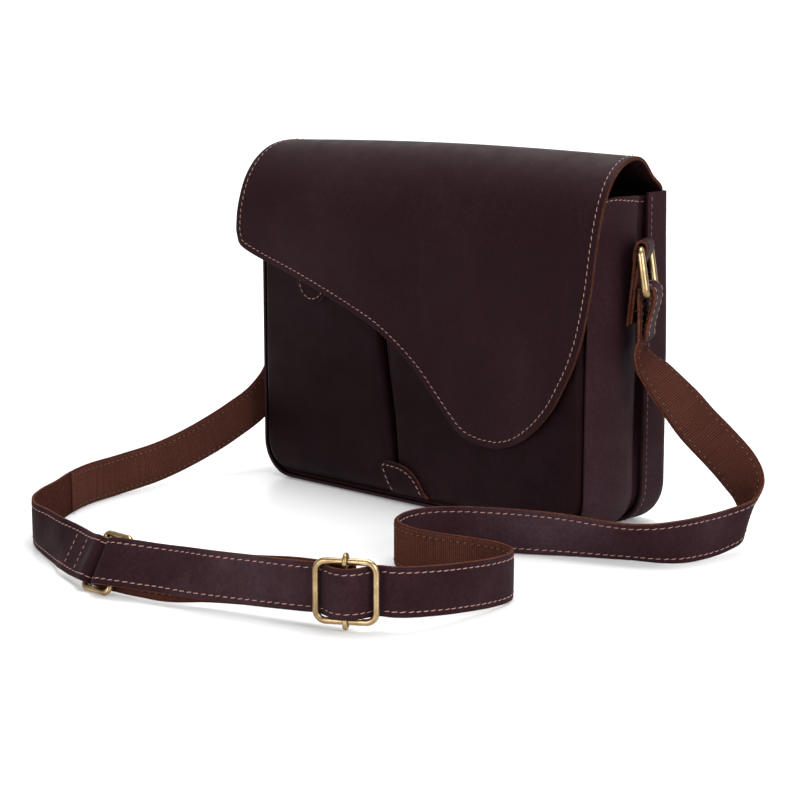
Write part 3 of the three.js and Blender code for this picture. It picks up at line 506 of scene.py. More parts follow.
# depth, how far the side stands out, the base, drop of the hem, corner radius
gussetSection = [
    (-41.5, -1, -1.5, 9.5, 28), (-38, 0, 0, 5.9, 28), (-30, 1.2, 0, 1.8, 28), (-20, 2.2, 0, 0, 28),
    (-6, 2, 0, 0, 28.5), (5, 0.6, 0, 0.2, 29), (11, -1.8, -0.2, 0.8, 29), (14, -4.4, -1, 1.2, 29),
    (17, -6.6, -2.4, 1.4, 29), (22, -6, -2.4, 1.5, 29), (27, -2.5, -2.4, 1.5, 29),
    (36, -2.4, -2.4, 1.5, 29),
]
gussetForm = {
    "steps": 4, "inside": (0, 0, 140), "rimRound": 0.7, "hemDepth": 3.2, "hemRamp": 1.2, "hemStand": 0.7,
    "crumple": {"size": 26.0, "seed": 3.0, "height": 0.9, "side": 0.25, "low": 0.9, "top": 70, "fade": 60},
    "wave": {"size": 70.0, "seed": 9.0, "height": 0.7},
    "free": {"middle": -2, "half": 36, "fade": 26},      # the sewn edges stay smooth
    "hemStitch": {"y": (-38, -24, 6, 34), "depth": (1.2, 1.4, 3.9, 4.2), "levels": 12},
}


def gussetGrid(form=gussetForm):
    top = bodySizes["gussetTop"]
    crumple, wave, free = form["crumple"], form["wave"], form["free"]
    columns = []
    for y, side, base, drop, corner in smoothRows(gussetSection, form["steps"], (0, 1)):
        line = bodyOutline(0, top, corner)
        out = base + (side - base) * line["side"]
        hem = np.clip((line["z"] - (top - form["hemDepth"])) / form["hemRamp"], 0, 1)
        out = out + form["hemStand"] * hem * line["side"]
        points = outlineAt(line, y) + outlineFacing(line) * out[:, None]
        points[:, 2] -= drop * np.maximum(line["z"] - corner, 0) / (top - corner)
        low = np.clip((crumple["top"] - points[:, 2]) / crumple["fade"], 0, 1) * line["side"]
        edge = np.clip((free["half"] - abs(y - free["middle"])) / free["fade"], 0, 1)
        ripple = softNoise(points, crumple["size"], crumple["seed"]) * crumple["height"] * edge
        gentle = softNoise(points, wave["size"], wave["seed"]) * wave["height"] * edge * line["side"]
        push = ripple * (crumple["side"] * line["side"] + crumple["low"] * low) + gentle
        columns.append(points + outlineFacing(line) * push[:, None])
    return np.stack(columns, axis=1)


gussetPoints = gussetGrid()
hidePanel("gusset_hide", gridMesh(gussetPoints), gussetForm["inside"], bodySizes["wall"], ["gusset"],
          bodyHide, bodyHide, gussetForm["rimRound"])


def hemLine(grid, hem):
    line = []
    for column in grid.swapaxes(0, 1):
        depth = np.interp(column[0, 1], hem["y"], hem["depth"])
        line.append(pointAt(column, runLength(column), depth))
    line = np.array(line)
    return line[(line[:, 1] > hem["y"][0]) & (line[:, 1] < hem["y"][-1])]


hemPaths = []
for hand, sideGrid in ((-1, gussetPoints), (1, gussetPoints[::-1])):
    line = hemLine(sideGrid[:gussetForm["hemStitch"]["levels"]], gussetForm["hemStitch"])
    hemPaths.append((line, facing((hand, 0, 0), len(line))))
stitchRows("gusset_hem_stitches", hemPaths, seamThread)
print("gusset made")


def bulged(points, sizes=bodySizes):
    share = np.clip((points[..., 1] - sizes["lapFront"]) / (sizes["rear"] - sizes["lapFront"]), 0, 1)
    span = sizes["backTop"] - sizes["bulgeHeight"]
    lift = np.sin((sizes["backTop"] - points[..., 2]) / span * np.pi / 2)
    moved = points.copy()
    moved[..., 1] += sizes["bulge"] * share * np.maximum(lift, 0)
    return moved


# a wall between the left and the right half of an outline
def wallBetween(ring, columns):
    levels = bodySizes["sideSteps"] + bodySizes["cornerSteps"] + 1
    share = np.linspace(0, 1, columns + 1)[None, :, None]
    return ring[:levels, None] * (1 - share) + ring[::-1][:levels, None] * share


backForm = {
    "inside": (0, 20, 130), "size": 95.0, "seed": 21.0, "height": 1.1, "from": 30, "ramp": 12, "fade": 30,
}
flapSeam = {"heights": (221.0, 212.5), "halfWidth": 147.0, "points": 120, "lift": 0.05}


def backRing(inset, y):
    return outlineAt(bodyOutline(inset, bodySizes["backTop"], bodySizes["backCorner"]), y)


def backSwell(points):
    return softNoise(points, backForm["size"], backForm["seed"]) * backForm["height"]


# the laps run forward round the sides and base, the fold turns into the wide back wall
def backPanelMesh(sizes=bodySizes):
    foldStart = sizes["rear"] - sizes["fold"]
    rings = [backRing(0, y) for y in np.linspace(sizes["lapFront"], foldStart, sizes["lapSteps"] + 1)]
    for angle in np.linspace(0, np.pi / 2, sizes["foldSteps"] + 1)[1:]:
        inset = sizes["fold"] * (1 - math.cos(angle))
        rings.append(backRing(inset, foldStart + sizes["fold"] * math.sin(angle)))
    lap = np.stack(rings, axis=1)
    wall = wallBetween(lap[:, -1], sizes["baseSteps"])
    points, faces = joinParts([gridMesh(bulged(lap)), gridMesh(bulged(wall))])
    swell = backSwell(points) * np.clip((points[:, 1] - backForm["from"]) / backForm["ramp"], 0, 1)
    points[:, 1] += swell * np.clip((sizes["backTop"] - points[:, 2]) / backForm["fade"], 0, 1)
    return points, faces


def welded(points, faces, near=0.02):
    keys = np.round(points / near).astype(np.int64)
    _, first, index = np.unique(keys, axis=0, return_index=True, return_inverse=True)
    kept = [face for face in index.ravel()[faces] if len(set(face)) == len(face)]
    return points[first], np.array(kept)


hidePanel("back_hide", welded(*backPanelMesh()), backForm["inside"], bodySizes["wall"], ["back_panel"],
          bodyHide, bodyHide)
lapOut = outlineFacing(bodyOutline(0, bodySizes["backTop"], bodySizes["backCorner"]))
lapStitch = backRing(0, bodySizes["lapFront"] + bodySizes["lapStitch"])
# the lap stitches take the darker thread, which paints the shade on the lap
stitchRows("back_lap_stitches", [(lapStitch[1:-1], lapOut[1:-1])], shadedLapThread)

# the rows that hold the flap to the back wall
seamPaths = []
for seamZ in flapSeam["heights"]:
    count = flapSeam["points"]
    seamX = np.linspace(-flapSeam["halfWidth"], flapSeam["halfWidth"], count)
    seamLine = bulged(np.stack([seamX, np.full(count, bodySizes["rear"]), np.full(count, seamZ)], axis=1))
    nearest = backSwell(seamLine) * (bodySizes["backTop"] - seamZ) / backForm["fade"]
    seamLine[:, 1] += nearest + flapSeam["lift"]
    seamPaths.append((seamLine, facing((0, 1, 0), count)))
stitchRows("back_flap_seam", seamPaths, seamThread)
print("back wall made")

frontWall = {
    "outer": -35.0, "top": 222.0, "inset": 2.4, "corner": 28.0, "columns": 40, "inside": (0, 0, 120),
}
frontLine = bodyOutline(frontWall["inset"], frontWall["top"], frontWall["corner"])
frontRing = outlineAt(frontLine, frontWall["outer"])
hidePanel("front_hide", gridMesh(wallBetween(frontRing, frontWall["columns"])), frontWall["inside"],
          bodySizes["wall"], ["front_panel"], bodyHide)

pocketForm = {
    "outerEdge": 156.3, "corner": 26.0, "top": 205.0, "bottom": 5.0, "seat": -35.3, "inside": 110,
    "depth": 8.2, "crown": 1.5, "edgeRound": 6.0, "footRound": 12.0,
    "slit": {"z": (5, 32, 118, 205), "left": (-17.4, -18.4, -33, -44), "right": (-15, -16, -25, -31)},
    "edgeSteps": (0, 0.12, 0.4, 0.85, 1.5, 2.4, 3.5, 4.7, 6.0), "middleSteps": 22,
    "footTop": 32, "upperRows": 58, "footRows": 25, "footCrowding": 1.8,
    "dent": 0.55, "dentSize": 60.0, "dentSeed": {"left": 5.0, "right": 6.0},
}


def quarterRound(share):
    return np.sqrt(np.maximum(1 - (1 - np.clip(share, 0, 1)) ** 2, 0))


def pocketFace(share, z, form=pocketForm):
    height = (form["top"] - z) / (form["top"] - form["bottom"])
    crown = form["crown"] * np.sin(np.pi * share) * np.sin(np.pi * height)
    return (form["depth"] + crown) * quarterRound((z - form["bottom"]) / form["footRound"])


def pocketEdges(side, z, form=pocketForm):
    drop = max(form["bottom"] + form["corner"] - z, 0)
    outer = form["outerEdge"] - form["corner"] + math.sqrt(max(form["corner"] ** 2 - drop ** 2, 0))
    slit = float(np.interp(z, form["slit"]["z"], form["slit"][side]))
    return (-outer, slit) if side == "left" else (slit, outer)


def pocketGrid(side, form=pocketForm):
    steps = np.array(form["edgeSteps"])
    upper = np.linspace(form["top"], form["footTop"], form["upperRows"])
    foot = (1 - np.linspace(0, 1, form["footRows"] + 1)[1:]) ** form["footCrowding"]
    rows = []
    for z in np.r_[upper, form["bottom"] + (form["footTop"] - form["bottom"]) * foot]:
        start, end = pocketEdges(side, z)
        inner, outer = start + form["edgeRound"], end - form["edgeRound"]
        middle = np.linspace(inner, outer, form["middleSteps"] + 2)[1:-1]
        x = np.r_[start + steps, middle, (end - steps)[::-1]]
        nearest = np.minimum(x - start, end - x)
        stand = quarterRound(nearest / form["edgeRound"]) * pocketFace((x - start) / (end - start), z)
        rows.append(np.stack([x, form["seat"] - stand, np.full(len(x), z)], axis=1))
    grid = np.stack(rows)
    dent = softNoise(grid.reshape(-1, 3), form["dentSize"], form["dentSeed"][side])
    deep = np.clip((form["seat"] - grid[..., 1]) / form["depth"], 0, 1)
    grid[..., 1] += form["dent"] * dent.reshape(grid.shape[:2]) * deep
    return grid


for side in ("left", "right"):
    grid = pocketGrid(side)
    hidePanel("pocket_hide_" + side, gridMesh(grid), (grid[..., 0].mean(), 0, pocketForm["inside"]),
              bodySizes["wall"], ["pocket_" + side], shadedPocketHide)
print("pockets made")

# the leaf-shaped patch over the foot of the slit: height, left and right edge
patchForm = {
    "rows": [(30.5, -24.5, -18), (29.6, -27.3, -9), (27.5, -28.8, -1.5), (24, -28.2, 4.5), (20, -26.4, 9),
             (15, -23.6, 12.6), (11, -21.6, 14), (7.2, -19.7, 16.4)],
    "steps": 6, "columns": 18, "hide": 1.8, "lift": 0.7, "seatGap": 0.3, "inside": (-5, 0, 20),
    "stitchInset": 3.0, "stitchStep": 1.0, "stitchFoot": 8.5,
}
tabForm = {
    "middle": -99.5, "halfWidth": 16.0, "top": 190.0, "shoulder": 156, "roundCentre": 155.0,
    "straightRows": 12, "roundRows": 14, "columns": 12, "inside": (-99.5, 0, 165),
    "stitchInset": 3.2, "stitchTop": 188, "stitchPoints": (8, 30),
}


def patchFace(x, z):
    face = pocketForm["seat"] - pocketFace(0, z) - patchForm["lift"]
    return face - patchForm["seatGap"] - patchForm["hide"]


def tabFace(x, z):
    start, end = pocketEdges("left", z)
    face = pocketForm["seat"] - pocketFace((x - start) / (end - start), z)
    return face - patchForm["seatGap"] - patchForm["hide"]


def panelOnPockets(rows, columns, faceAt):
    share = np.linspace(0, 1, columns + 1)
    grid = []
    for z, left, right in rows:
        x = left + (right - left) * share
        grid.append(np.stack([x, [faceAt(xi, z) for xi in x], np.full(len(x), z)], axis=1))
    return gridMesh(np.stack(grid))


# stitches on the pockets, along a line of (across, height) points
def pocketStitches(name, line, faceAt):
    path = np.array([(x, faceAt(x, z), z) for x, z in line])
    stitchRows(name, [(path, facing((0, -1, 0), len(path)))], seamThread)


# a line inside an outline, which is given as sides of (across, down) points with the inside on its left
def insetLine(sides, step, inset):
    outline = evenRows(np.vstack([np.stack(side, axis=1) for side in sides]), step, (0, 1))
    way = unit(np.gradient(outline, axis=0))
    return outline + inset * np.stack([-way[:, 1], way[:, 0]], axis=1)


patchRows = smoothRows(patchForm["rows"], patchForm["steps"])
hidePanel("patch_hide", panelOnPockets(patchRows, patchForm["columns"], patchFace), patchForm["inside"],
          patchForm["hide"], ["pocket_patch"], shadedPocketHide)
patchSides = [(patchRows[::-1, 1], -patchRows[::-1, 0]), (patchRows[:, 2], -patchRows[:, 0])]
patchStitch = insetLine(patchSides, patchForm["stitchStep"], patchForm["stitchInset"])
patchLine = [(x, -down) for x, down in patchStitch if -down > patchForm["stitchFoot"]]
pocketStitches("patch_stitches", patchLine, patchFace)

tabMiddle, half = tabForm["middle"], tabForm["halfWidth"]
tabStraight = np.linspace(tabForm["top"], tabForm["shoulder"], tabForm["straightRows"])
tabRows = [(z, tabMiddle - half, tabMiddle + half) for z in tabStraight]
for a in np.linspace(0, np.pi / 2, tabForm["roundRows"] + 1)[:-1]:
    z = tabForm["roundCentre"] - half * math.sin(a)
    tabRows.append((z, tabMiddle - half * math.cos(a), tabMiddle + half * math.cos(a)))
hidePanel("tab_hide", panelOnPockets(tabRows, tabForm["columns"], tabFace), tabForm["inside"],
          patchForm["hide"], ["pocket_tab"], shadedPocketHide)
reach = half - tabForm["stitchInset"]
sidePoints, bendPoints = tabForm["stitchPoints"]
stitchTop, shoulder = tabForm["stitchTop"], tabForm["shoulder"]
tabLine = [(tabMiddle - reach, z) for z in np.linspace(stitchTop, shoulder, sidePoints)]
for a in np.linspace(0, np.pi, bendPoints):
    tabLine.append((tabMiddle - reach * math.cos(a), tabForm["roundCentre"] - reach * math.sin(a)))
tabLine += [(tabMiddle + reach, z) for z in np.linspace(shoulder, stitchTop, sidePoints)]
pocketStitches("tab_stitches", tabLine, tabFace)
print("patch and tab made")

# the flap, from its sewn end inside the back wall over the ridge to its tip: depth, height, left, right
flapProfile = [
    (43.4, 206, -149, 149), (42.6, 226, -151.5, 151.5), (40.9, 230.4, -155, 155.5),
    (29, 242.5, -158, 156.5), (14, 253, -163, 160.5), (1, 256, -168, 164.5), (-16, 253, -174, 167.5),
    (-30, 244, -176.5, 169.5), (-40.5, 231, -177.5, 171.5), (-47, 214, -178.5, 172),
    (-49.6, 197, -179.5, 171), (-50, 184, -178.5, 169.5), (-50, 176, -173, 168.5),
    (-50, 171, -160, 167.7), (-50, 167, -147, 167), (-50, 157, -113, 165), (-50, 148, -85.5, 163),
    (-50, 138, -57, 160.5), (-50, 128, -32, 157), (-50, 118, -14, 153), (-50, 105, 5, 146),
    (-50, 83, 29, 131.5), (-50, 69, 43.5, 117), (-50, 62, 52, 106.5), (-50, 58, 61, 97.5),
    (-50, 55.6, 73, 88),
]
flapForm = {
    "steps": 10, "columns": 72, "hide": 2.4, "crown": 3.0, "ridgeFoot": 231.0, "ridgeTop": 256.0,
    "inside": (0, 0, 150), "stitchInset": 4.5, "stitchStep": 2.0, "stitchFrom": 40,
    "sway": 0.5, "swaySize": 85.0, "swaySeed": 14.0, "swayReach": 60,
}
flapRows = smoothRows(flapProfile, flapForm["steps"], (0, 1))
flapDown = runLength(flapRows[:, :2])


def flapPoints(across, down, form=flapForm):
    y, z, left, right = (np.interp(down, flapDown, column) for column in flapRows.T)
    share = np.clip((across - left) / np.maximum(right - left, 1e-6), 0, 1)
    height = np.clip((z - form["ridgeFoot"]) / (form["ridgeTop"] - form["ridgeFoot"]), 0, 1)
    crown = form["crown"] * height * np.sin(np.pi * share)
    points = np.stack([across, y, z + crown], axis=-1).reshape(-1, 3)
    sway = softNoise(points, form["swaySize"], form["swaySeed"]) * form["sway"]
    sway *= np.clip((form["swayReach"] - points[:, 1]) / form["swayReach"], 0, 1)
    points[:, 1] -= np.abs(sway)
    return points.reshape(*across.shape, 3)


flapLeft, flapRight = flapRows[:, 2], flapRows[:, 3]
flapShare = np.linspace(0, 1, flapForm["columns"] + 1)
flapAcross = flapLeft[:, None] * (1 - flapShare) + flapRight[:, None] * flapShare
flapGrid = flapPoints(flapAcross, np.repeat(flapDown[:, None], len(flapShare), axis=1))
flap = hidePanel("flap_hide", gridMesh(flapGrid), flapForm["inside"], flapForm["hide"], ["flap"],
                 flapHide, flapEdge)
flapSides = [(flapRight, flapDown), (flapLeft[::-1], flapDown[::-1])]
flapStitch = insetLine(flapSides, flapForm["stitchStep"], flapForm["stitchInset"])
across, down = flapStitch[flapStitch[:, 1] > flapForm["stitchFrom"]].T
flapPath = flapPoints(across, down)
flapSlope = flapPoints(across, down + 1.0) - flapPath
flapOut = unit(np.cross(flapSlope, facing((1, 0, 0), len(flapPath))))
flapOut *= np.sign(np.sum(flapOut * (flapPath - np.array(flapForm["inside"])), axis=1))[:, None]
stitchRows("flap_stitches", [(flapPath, flapOut)], seamThread)


# side rings, tabs, straps and slider

strapForm = {
    "width": 30.0, "station": 1.8, "stitchReach": 11.5, "stitchLift": 0.86, "groove": 0.22,
    "webReach": 11.4, "webLift": 2.1, "stitchStation": 2.0, "stitchLean": 8.0,
    "webFlatWidth": 0.0284,      # metres
}
sideForm = {
    "foot": (163.1, 1.8, 145.0), "footTurn": 20.0, "head": (168.0, 0.2, 196.0), "headTurn": 28.0,
    "ringFoot": (177.1, 1.6, 167.2), "tabWidth": 25.0, "tabHide": 2.0, "tabSteps": 8, "tabStation": 1.2,
    "ringWidth": 41.4, "wire": 5.0, "wireSides": 16, "corner": 6.0, "gap": 0.3,
    "legSwell": 0.5, "legStart": 0.72, "legRamp": 0.15,
    "tabStitch": {"fromEnd": (8, 20), "reach": 9.5, "points": 9},
}
# out from the bag and up from the ring's upper bar
tabFold = [
    (0, -51), (0, -30), (0, -12), (0, 1.5), (1.1, 4.1), (3.7, 5.2), (6.3, 4.1), (7.4, 1.5), (7.1, -2),
    (5, -7), (2.8, -12), (2.3, -18), (2.3, -32), (2.3, -49.5),
]
# the strap over the lower bar, from its sewn end to its running side
ringLoop = [
    (0.6, -31), (0.9, -24), (2.3, -16), (4.4, -8), (5.4, -1.5), (4, 3.6), (0, 5.4), (-4, 3.6),
    (-5.4, -1.5), (-5.2, -8), (-4.9, -16), (-4.8, -24), (-4.8, -31),
]


def sideTurn(degrees):
    c, s = math.cos(math.radians(degrees)), math.sin(math.radians(degrees))
    return np.array((-s, c, 0.0)), np.array((c, s, 0.0))


headBar, headOut = sideTurn(sideForm["headTurn"])


def tabStations(hand, form=sideForm):
    head, foot, mirror = np.array(form["head"]), np.array(form["foot"]), (hand, 1, 1)
    stations = []
    for out, up in smoothRows(tabFold, form["tabSteps"], (0, 1)):
        share = min(max(1 + up / (head[2] - foot[2]), 0), 1)
        bar, outward = sideTurn(form["footTurn"] + (form["headTurn"] - form["footTurn"]) * share)
        middle = np.append((foot + (head - foot) * share)[:2], head[2] + up) + outward * out
        stations.append(np.r_[middle * mirror, bar * mirror])
    return np.array(stations)


def ribbonFrame(stations):
    middle = stations[:, :3]
    way = unit(np.gradient(middle, axis=0))
    across = stations[:, 3:]
    across = unit(across - way * np.sum(across * way, axis=1, keepdims=True))
    return middle, across, np.cross(way, across)


# a band swept along its stations; section rows give (across, depth), the finish of the face that follows
# and, where the band has ribs, the share of them that the row takes
def sweptBand(name, stations, section, finishes, nodes, ribs=None):
    middle, across, depth = ribbonFrame(stations)
    count, sides = len(middle), len(section)
    wide, deep, finish = (np.array([row[k] for row in section]) for k in range(3))
    deep = np.repeat(deep[None], count, axis=0)
    finishOf = np.tile(finish, count - 1)
    if ribs:
        lift, shadedGrooves = ribs(runLength(middle))
        deep = deep + lift[:, None] * np.array([row[3] for row in section])[None]
        # faces in the rib grooves take the second finish, a darker copy that paints shade into them
        finishOf = np.where(np.repeat(shadedGrooves[:-1], sides), 1, finishOf)
    points = middle[:, None] + across[:, None] * wide[None, :, None] + depth[:, None] * deep[..., None]
    points = points.reshape(-1, 3)
    quads = tubeQuads(count, sides)[:, [0, 3, 2, 1]]
    ends = [list(range(sides))[::-1], list(range(len(points) - sides, len(points)))]
    faces = quads.tolist() + ends
    corners = points[quads]
    volume = np.sum(corners[:, 0] * np.cross(corners[:, 1], corners[:, 2])
                    + corners[:, 0] * np.cross(corners[:, 2], corners[:, 3]))
    if volume < 0:
        faces = [face[::-1] for face in faces]
    return makePiece(name, points, faces, finishes, finishOf.tolist() + [2, 2], nodes)


# grain face 0, flesh side 1, cut edge 2; side is the depth sign of the grain face
def strapSection(side):
    h, g = strapForm["width"] / 2, strapForm["stitchReach"]
    dip = 1.0 - strapForm["groove"]
    rows = [(-h, 0.5, 2), (-h + 0.3, 0.9, 0), (-g - 1.1, 1.0, 0), (-g, dip, 0), (-g + 1.1, 1.02, 0),
            (-h * 0.45, 1.1, 0), (0, 1.12, 0), (h * 0.45, 1.1, 0), (g - 1.1, 1.02, 0), (g, dip, 0),
            (g + 1.1, 1.0, 0), (h - 0.3, 0.9, 2), (h, 0.5, 2), (h, -0.6, 2), (h - 0.3, -0.9, 1),
            (0, -0.95, 1), (-h + 0.3, -0.9, 2), (-h, -0.6, 2)]
    return [(wide, side * deep, finish) for wide, deep, finish in rows]


def tabSection(side):
    h = sideForm["tabWidth"] / 2
    rows = [(-h, 0.5, 2), (-h + 0.3, 0.95, 0), (-h * 0.5, 1.02, 0), (0, 1.05, 0), (h * 0.5, 1.02, 0),
            (h - 0.3, 0.95, 2), (h, 0.5, 2), (h, -0.6, 2), (h - 0.3, -0.95, 1), (0, -0.95, 1),
            (-h + 0.3, -0.95, 2), (-h, -0.6, 2)]
    return [(wide, side * deep, finish) for wide, deep, finish in rows]


def webSection(side):
    rows = [(-14.1, 1.05, 0, 0), (-14.3, 1.5, 0, 0.5), (-13.7, 1.92, 0, 1), (-7, 2.0, 0, 1),
            (0, 2.02, 0, 1), (7, 2.0, 0, 1), (13.7, 1.92, 0, 1), (14.3, 1.5, 0, 0.5), (14.1, 1.05, 0, 0)]
    return [(wide, -side * deep, finish, -side * rib) for wide, deep, finish, rib in rows]


def ringLoopStations(hand):
    stations = []
    for out, up in ringLoop:
        middle = np.array(sideForm["ringFoot"]) + (0, 0, up) + headOut * out * hand
        stations.append(np.r_[middle * (hand, 1, 1), headBar * (hand, 1, 1) * hand])
    return stations


for side, hand in (("left", -1), ("right", 1)):
    mirror, wire = np.array((hand, 1, 1)), sideForm["wire"]
    tabLine = evenRows(tabStations(hand), sideForm["tabStation"])
    middle, across, depth = ribbonFrame(tabLine)
    grainSide = -1 if hand * depth[0][0] > 0 else 1
    sweptBand("ring_tab_hide_" + side, tabLine, tabSection(grainSide), [bodyHide, innerSuede, cutEdge],
              ["ring_tab_" + side])
    tabStitch = sideForm["tabStitch"]
    reach = np.linspace(-tabStitch["reach"], tabStitch["reach"], tabStitch["points"])
    crossPaths = []
    for k in tabStitch["fromEnd"]:
        out = grainSide * depth[-k]
        crossPaths.append((middle[-k] + np.outer(reach, across[-k]) + out, facing(out, len(reach))))
    stitchRows("ring_tab_stitches_" + side, crossPaths, seamThread)
    head = np.array(sideForm["head"]) + headOut * (sideForm["tabHide"] / 2 + sideForm["gap"] + wire / 2)
    foot = np.array(sideForm["ringFoot"])
    rise = head - foot
    up = rise / np.linalg.norm(rise)
    path = roundedFrame((head + foot) / 2, headBar, up, sideForm["ringWidth"] - wire, np.linalg.norm(rise),
                        sideForm["corner"] - wire / 2)
    fromMiddle = np.abs((path - (head + foot) / 2) @ headBar) / (sideForm["ringWidth"] / 2)
    leg = np.clip((fromMiddle - sideForm["legStart"]) / sideForm["legRamp"], 0, 1)
    points, quads = wireMesh(path * mirror, unit(np.cross(headBar, up)) * mirror,
                             wire / 2 + sideForm["legSwell"] * leg, sideForm["wireSides"])
    facesOut = quads if hand > 0 else quads[:, ::-1]
    brassPiece("side_ring_brass_" + side, "side_ring_" + side, points, facesOut)
print("rings and tabs made")

# middle of the strap and the direction across it, towards its upper edge; upright where none is given
longRoute = [
    (171.7, -2, 127.5, -0.44, 0.9, 0.05), (174, 0.6, 120, -0.26, 0.93, 0.18),
    (180.8, 5, 111.8, -0.04, 0.92, 0.33), (189.5, 9, 101.2, 0.15, 0.86, 0.43),
    (198, 13, 91, 0.28, 0.77, 0.54), (206, 17, 80.5, 0.38, 0.68, 0.61),
    (214.9, 21.9, 70.3, 0.5, 0.6, 0.62), (222.6, 26.6, 61.2, 0.57, 0.52, 0.63),
    (229.5, 30.5, 52.3, 0.67, 0.4, 0.62), (234.8, 32.8, 43.7, 0.79, 0.17, 0.58),
    (239.1, 32.5, 36.3, 0.84, -0.12, 0.53), (242.6, 29.4, 30.4, 0.74, -0.33, 0.58),
    (245.8, 24.3, 24.7, 0.52, -0.38, 0.76), (247.7, 15, 20.3, 0.26, -0.2, 0.94),
    (246, 0.7, 17.4, 0.14, -0.05, 0.99), (242, -22, 15.4, 0.08, -0.04, 1),
    (237, -41, 15.1, 0.12, -0.14, 0.98), (227, -52, 14.4, 0.18, -0.3, 0.94),
    (214, -58.5, 13.9, 0.2, -0.39, 0.9), (197, -66.5, 14.1, 0.15, -0.36, 0.92),
    (176, -76, 14.8, 0.1, -0.22, 0.97), (153, -88, 15.2, 0.03, -0.06, 1), (130, -101, 15.2),
    (112, -113, 15.2), (101, -126, 15.2), (97, -141, 15.2), (101, -158, 15.2), (111, -170, 15.2),
    (126, -176, 15.2), (146, -176, 15.2), (172, -170, 15.2), (194, -167, 15.2), (208, -171, 15.3),
    (217, -183, 15.8), (220.4, -201, 16.8), (220.4, -224, 18.6), (218, -247, 20.6),
]
shortRoute = [
    (-178.4, 2.2, 110, -0.36, -0.92, 0.14), (-178.8, -1.6, 88, -0.2, -0.85, 0.45),
    (-179.4, -10.5, 70, -0.07, -0.68, 0.72), (-181.2, -28, 53, 0, -0.4, 0.9),
    (-184.2, -53, 39.5, 0, -0.2, 1), (-187, -85, 27), (-186, -122, 18.5), (-181, -165, 15.2),
    (-170, -204, 15.2), (-157, -229, 15.2), (-141, -252, 15.2), (-127, -275, 15.2), (-113, -291, 15.2),
    (-96, -302, 15.2), (-74, -309, 15.1, 0.03, 0.16, 0.98), (-48, -317.6, 15.3, 0.04, 0.27, 0.96),
]
frontLayer = [(127.7, -310.2, 21.8, 0, 0.1, 1), (94.4, -320.1, 21, 0, 0.2, 0.98)]
backLayer = [(92.6, -313.9, 17.6, 0, 0.2, 0.98), (126, -303.6, 20, 0, 0.1, 1)]
# along and away from each fold's bar, then up the strap where it slips along the bar
sliderPass = [
    (26, 4.5), (17.6, 5.6), (11.5, 0.6), (6.8, -4.2), (0, -6.6), (-6.8, -4.2), (-11.5, 0.6),
    (-17.6, 5.6), (-27, 7),
]
sliderEnd = [(-27, 13.4), (-17.6, 10.8), (-9, 8), (-2.8, 5.9), (2.7, 4.8), (5, 1.6)]
longFold = [
    (40, -2.9, 1.6), (28, -3.4, 1.5), (17, -5.2, 1.3), (8, -6.1, 1.1), (0, -5.6, 1), (-4, -4, 1),
    (-5.6, 0, 1), (-4, 4, 0.9), (0, 5.6, 0.5), (8, 6.1, 0), (17, 5.2, -0.8), (28, 3.4, -1.5),
    (40, 2.9, -2),
]
shortFold = [
    (-38, -1.2, -2.2), (-22, -1.2, -2), (-11, -1.7, -1.3), (-4, -3.3, -0.6), (0, -3.7, -0.3),
    (2.6, -2.6, -0.2), (3.7, 0, -0.2), (2.6, 2.6, -0.2), (0, 3.7, -0.3), (-4, 3.3, -0.6),
    (-11, 1.7, -1.3), (-22, 1.2, -2), (-38, 1.2, -2.2),
]
sliderForm = {
    "place": (188.1, -291.0), "heading": 33.0, "outer": 39.2, "wire": 4.0, "corner": 8.0, "bar": 2.8,
    "eyeGap": 0.4, "wireSides": 18, "barSides": 14, "eyePoints": 36, "barRings": 9,
}
adjusterForm = {
    "place": (22.5, -333.3), "width": 27.0, "height": 40.0, "wire": 4.0, "corner": 5.0, "lean": 33.0,
    "shortHeading": -17.0, "longHeading": 17.5, "longSlack": 7.0, "longLean": 30.0, "wireSides": 16,
}
webbedShortRows, bareLongRows, routeSteps = 9, 4, 8

sliderReach = (sliderForm["outer"] - sliderForm["wire"]) / 2
eyeRadius = sliderForm["wire"] / 2 + sliderForm["eyeGap"] + sliderForm["bar"] / 2
sliderHeight = sliderReach + eyeRadius + sliderForm["bar"] / 2


def leanBack(degrees):
    return np.array((0.0, math.sin(math.radians(degrees)), math.cos(math.radians(degrees))))


adjusterUp = leanBack(adjusterForm["lean"])
adjusterReach = (adjusterForm["width"] - adjusterForm["wire"]) / 2
adjusterRise = (adjusterForm["height"] - adjusterForm["wire"]) / 2
adjusterHeight = adjusterRise * adjusterUp[2] + adjusterForm["wire"] / 2
upright = np.array((0.0, 0.0, 1.0))


def foldStations(rows, x, y, z, heading, across):
    c, s = math.cos(math.radians(heading)), math.sin(math.radians(heading))
    place, along = np.array((x, y, z)), np.array((c, s, 0.0))
    away = unit(np.cross(across, along))
    return [np.r_[place + along * a + away * b + across * sum(rise), across] for a, b, *rise in rows]


def throughSlider(rows):
    return foldStations(rows, *sliderForm["place"], sliderHeight, sliderForm["heading"], upright)


def roundAdjuster(rows, sign, heading, slack, leaning):
    x, y = adjusterForm["place"]
    x += sign * adjusterReach - slack * math.cos(math.radians(heading))
    y -= slack * math.sin(math.radians(heading))
    return foldStations(rows, x, y, adjusterHeight, heading, leanBack(leaning))


def edgeUp(rows):
    return [(*row, 0, 0, 1)[:6] for row in rows]


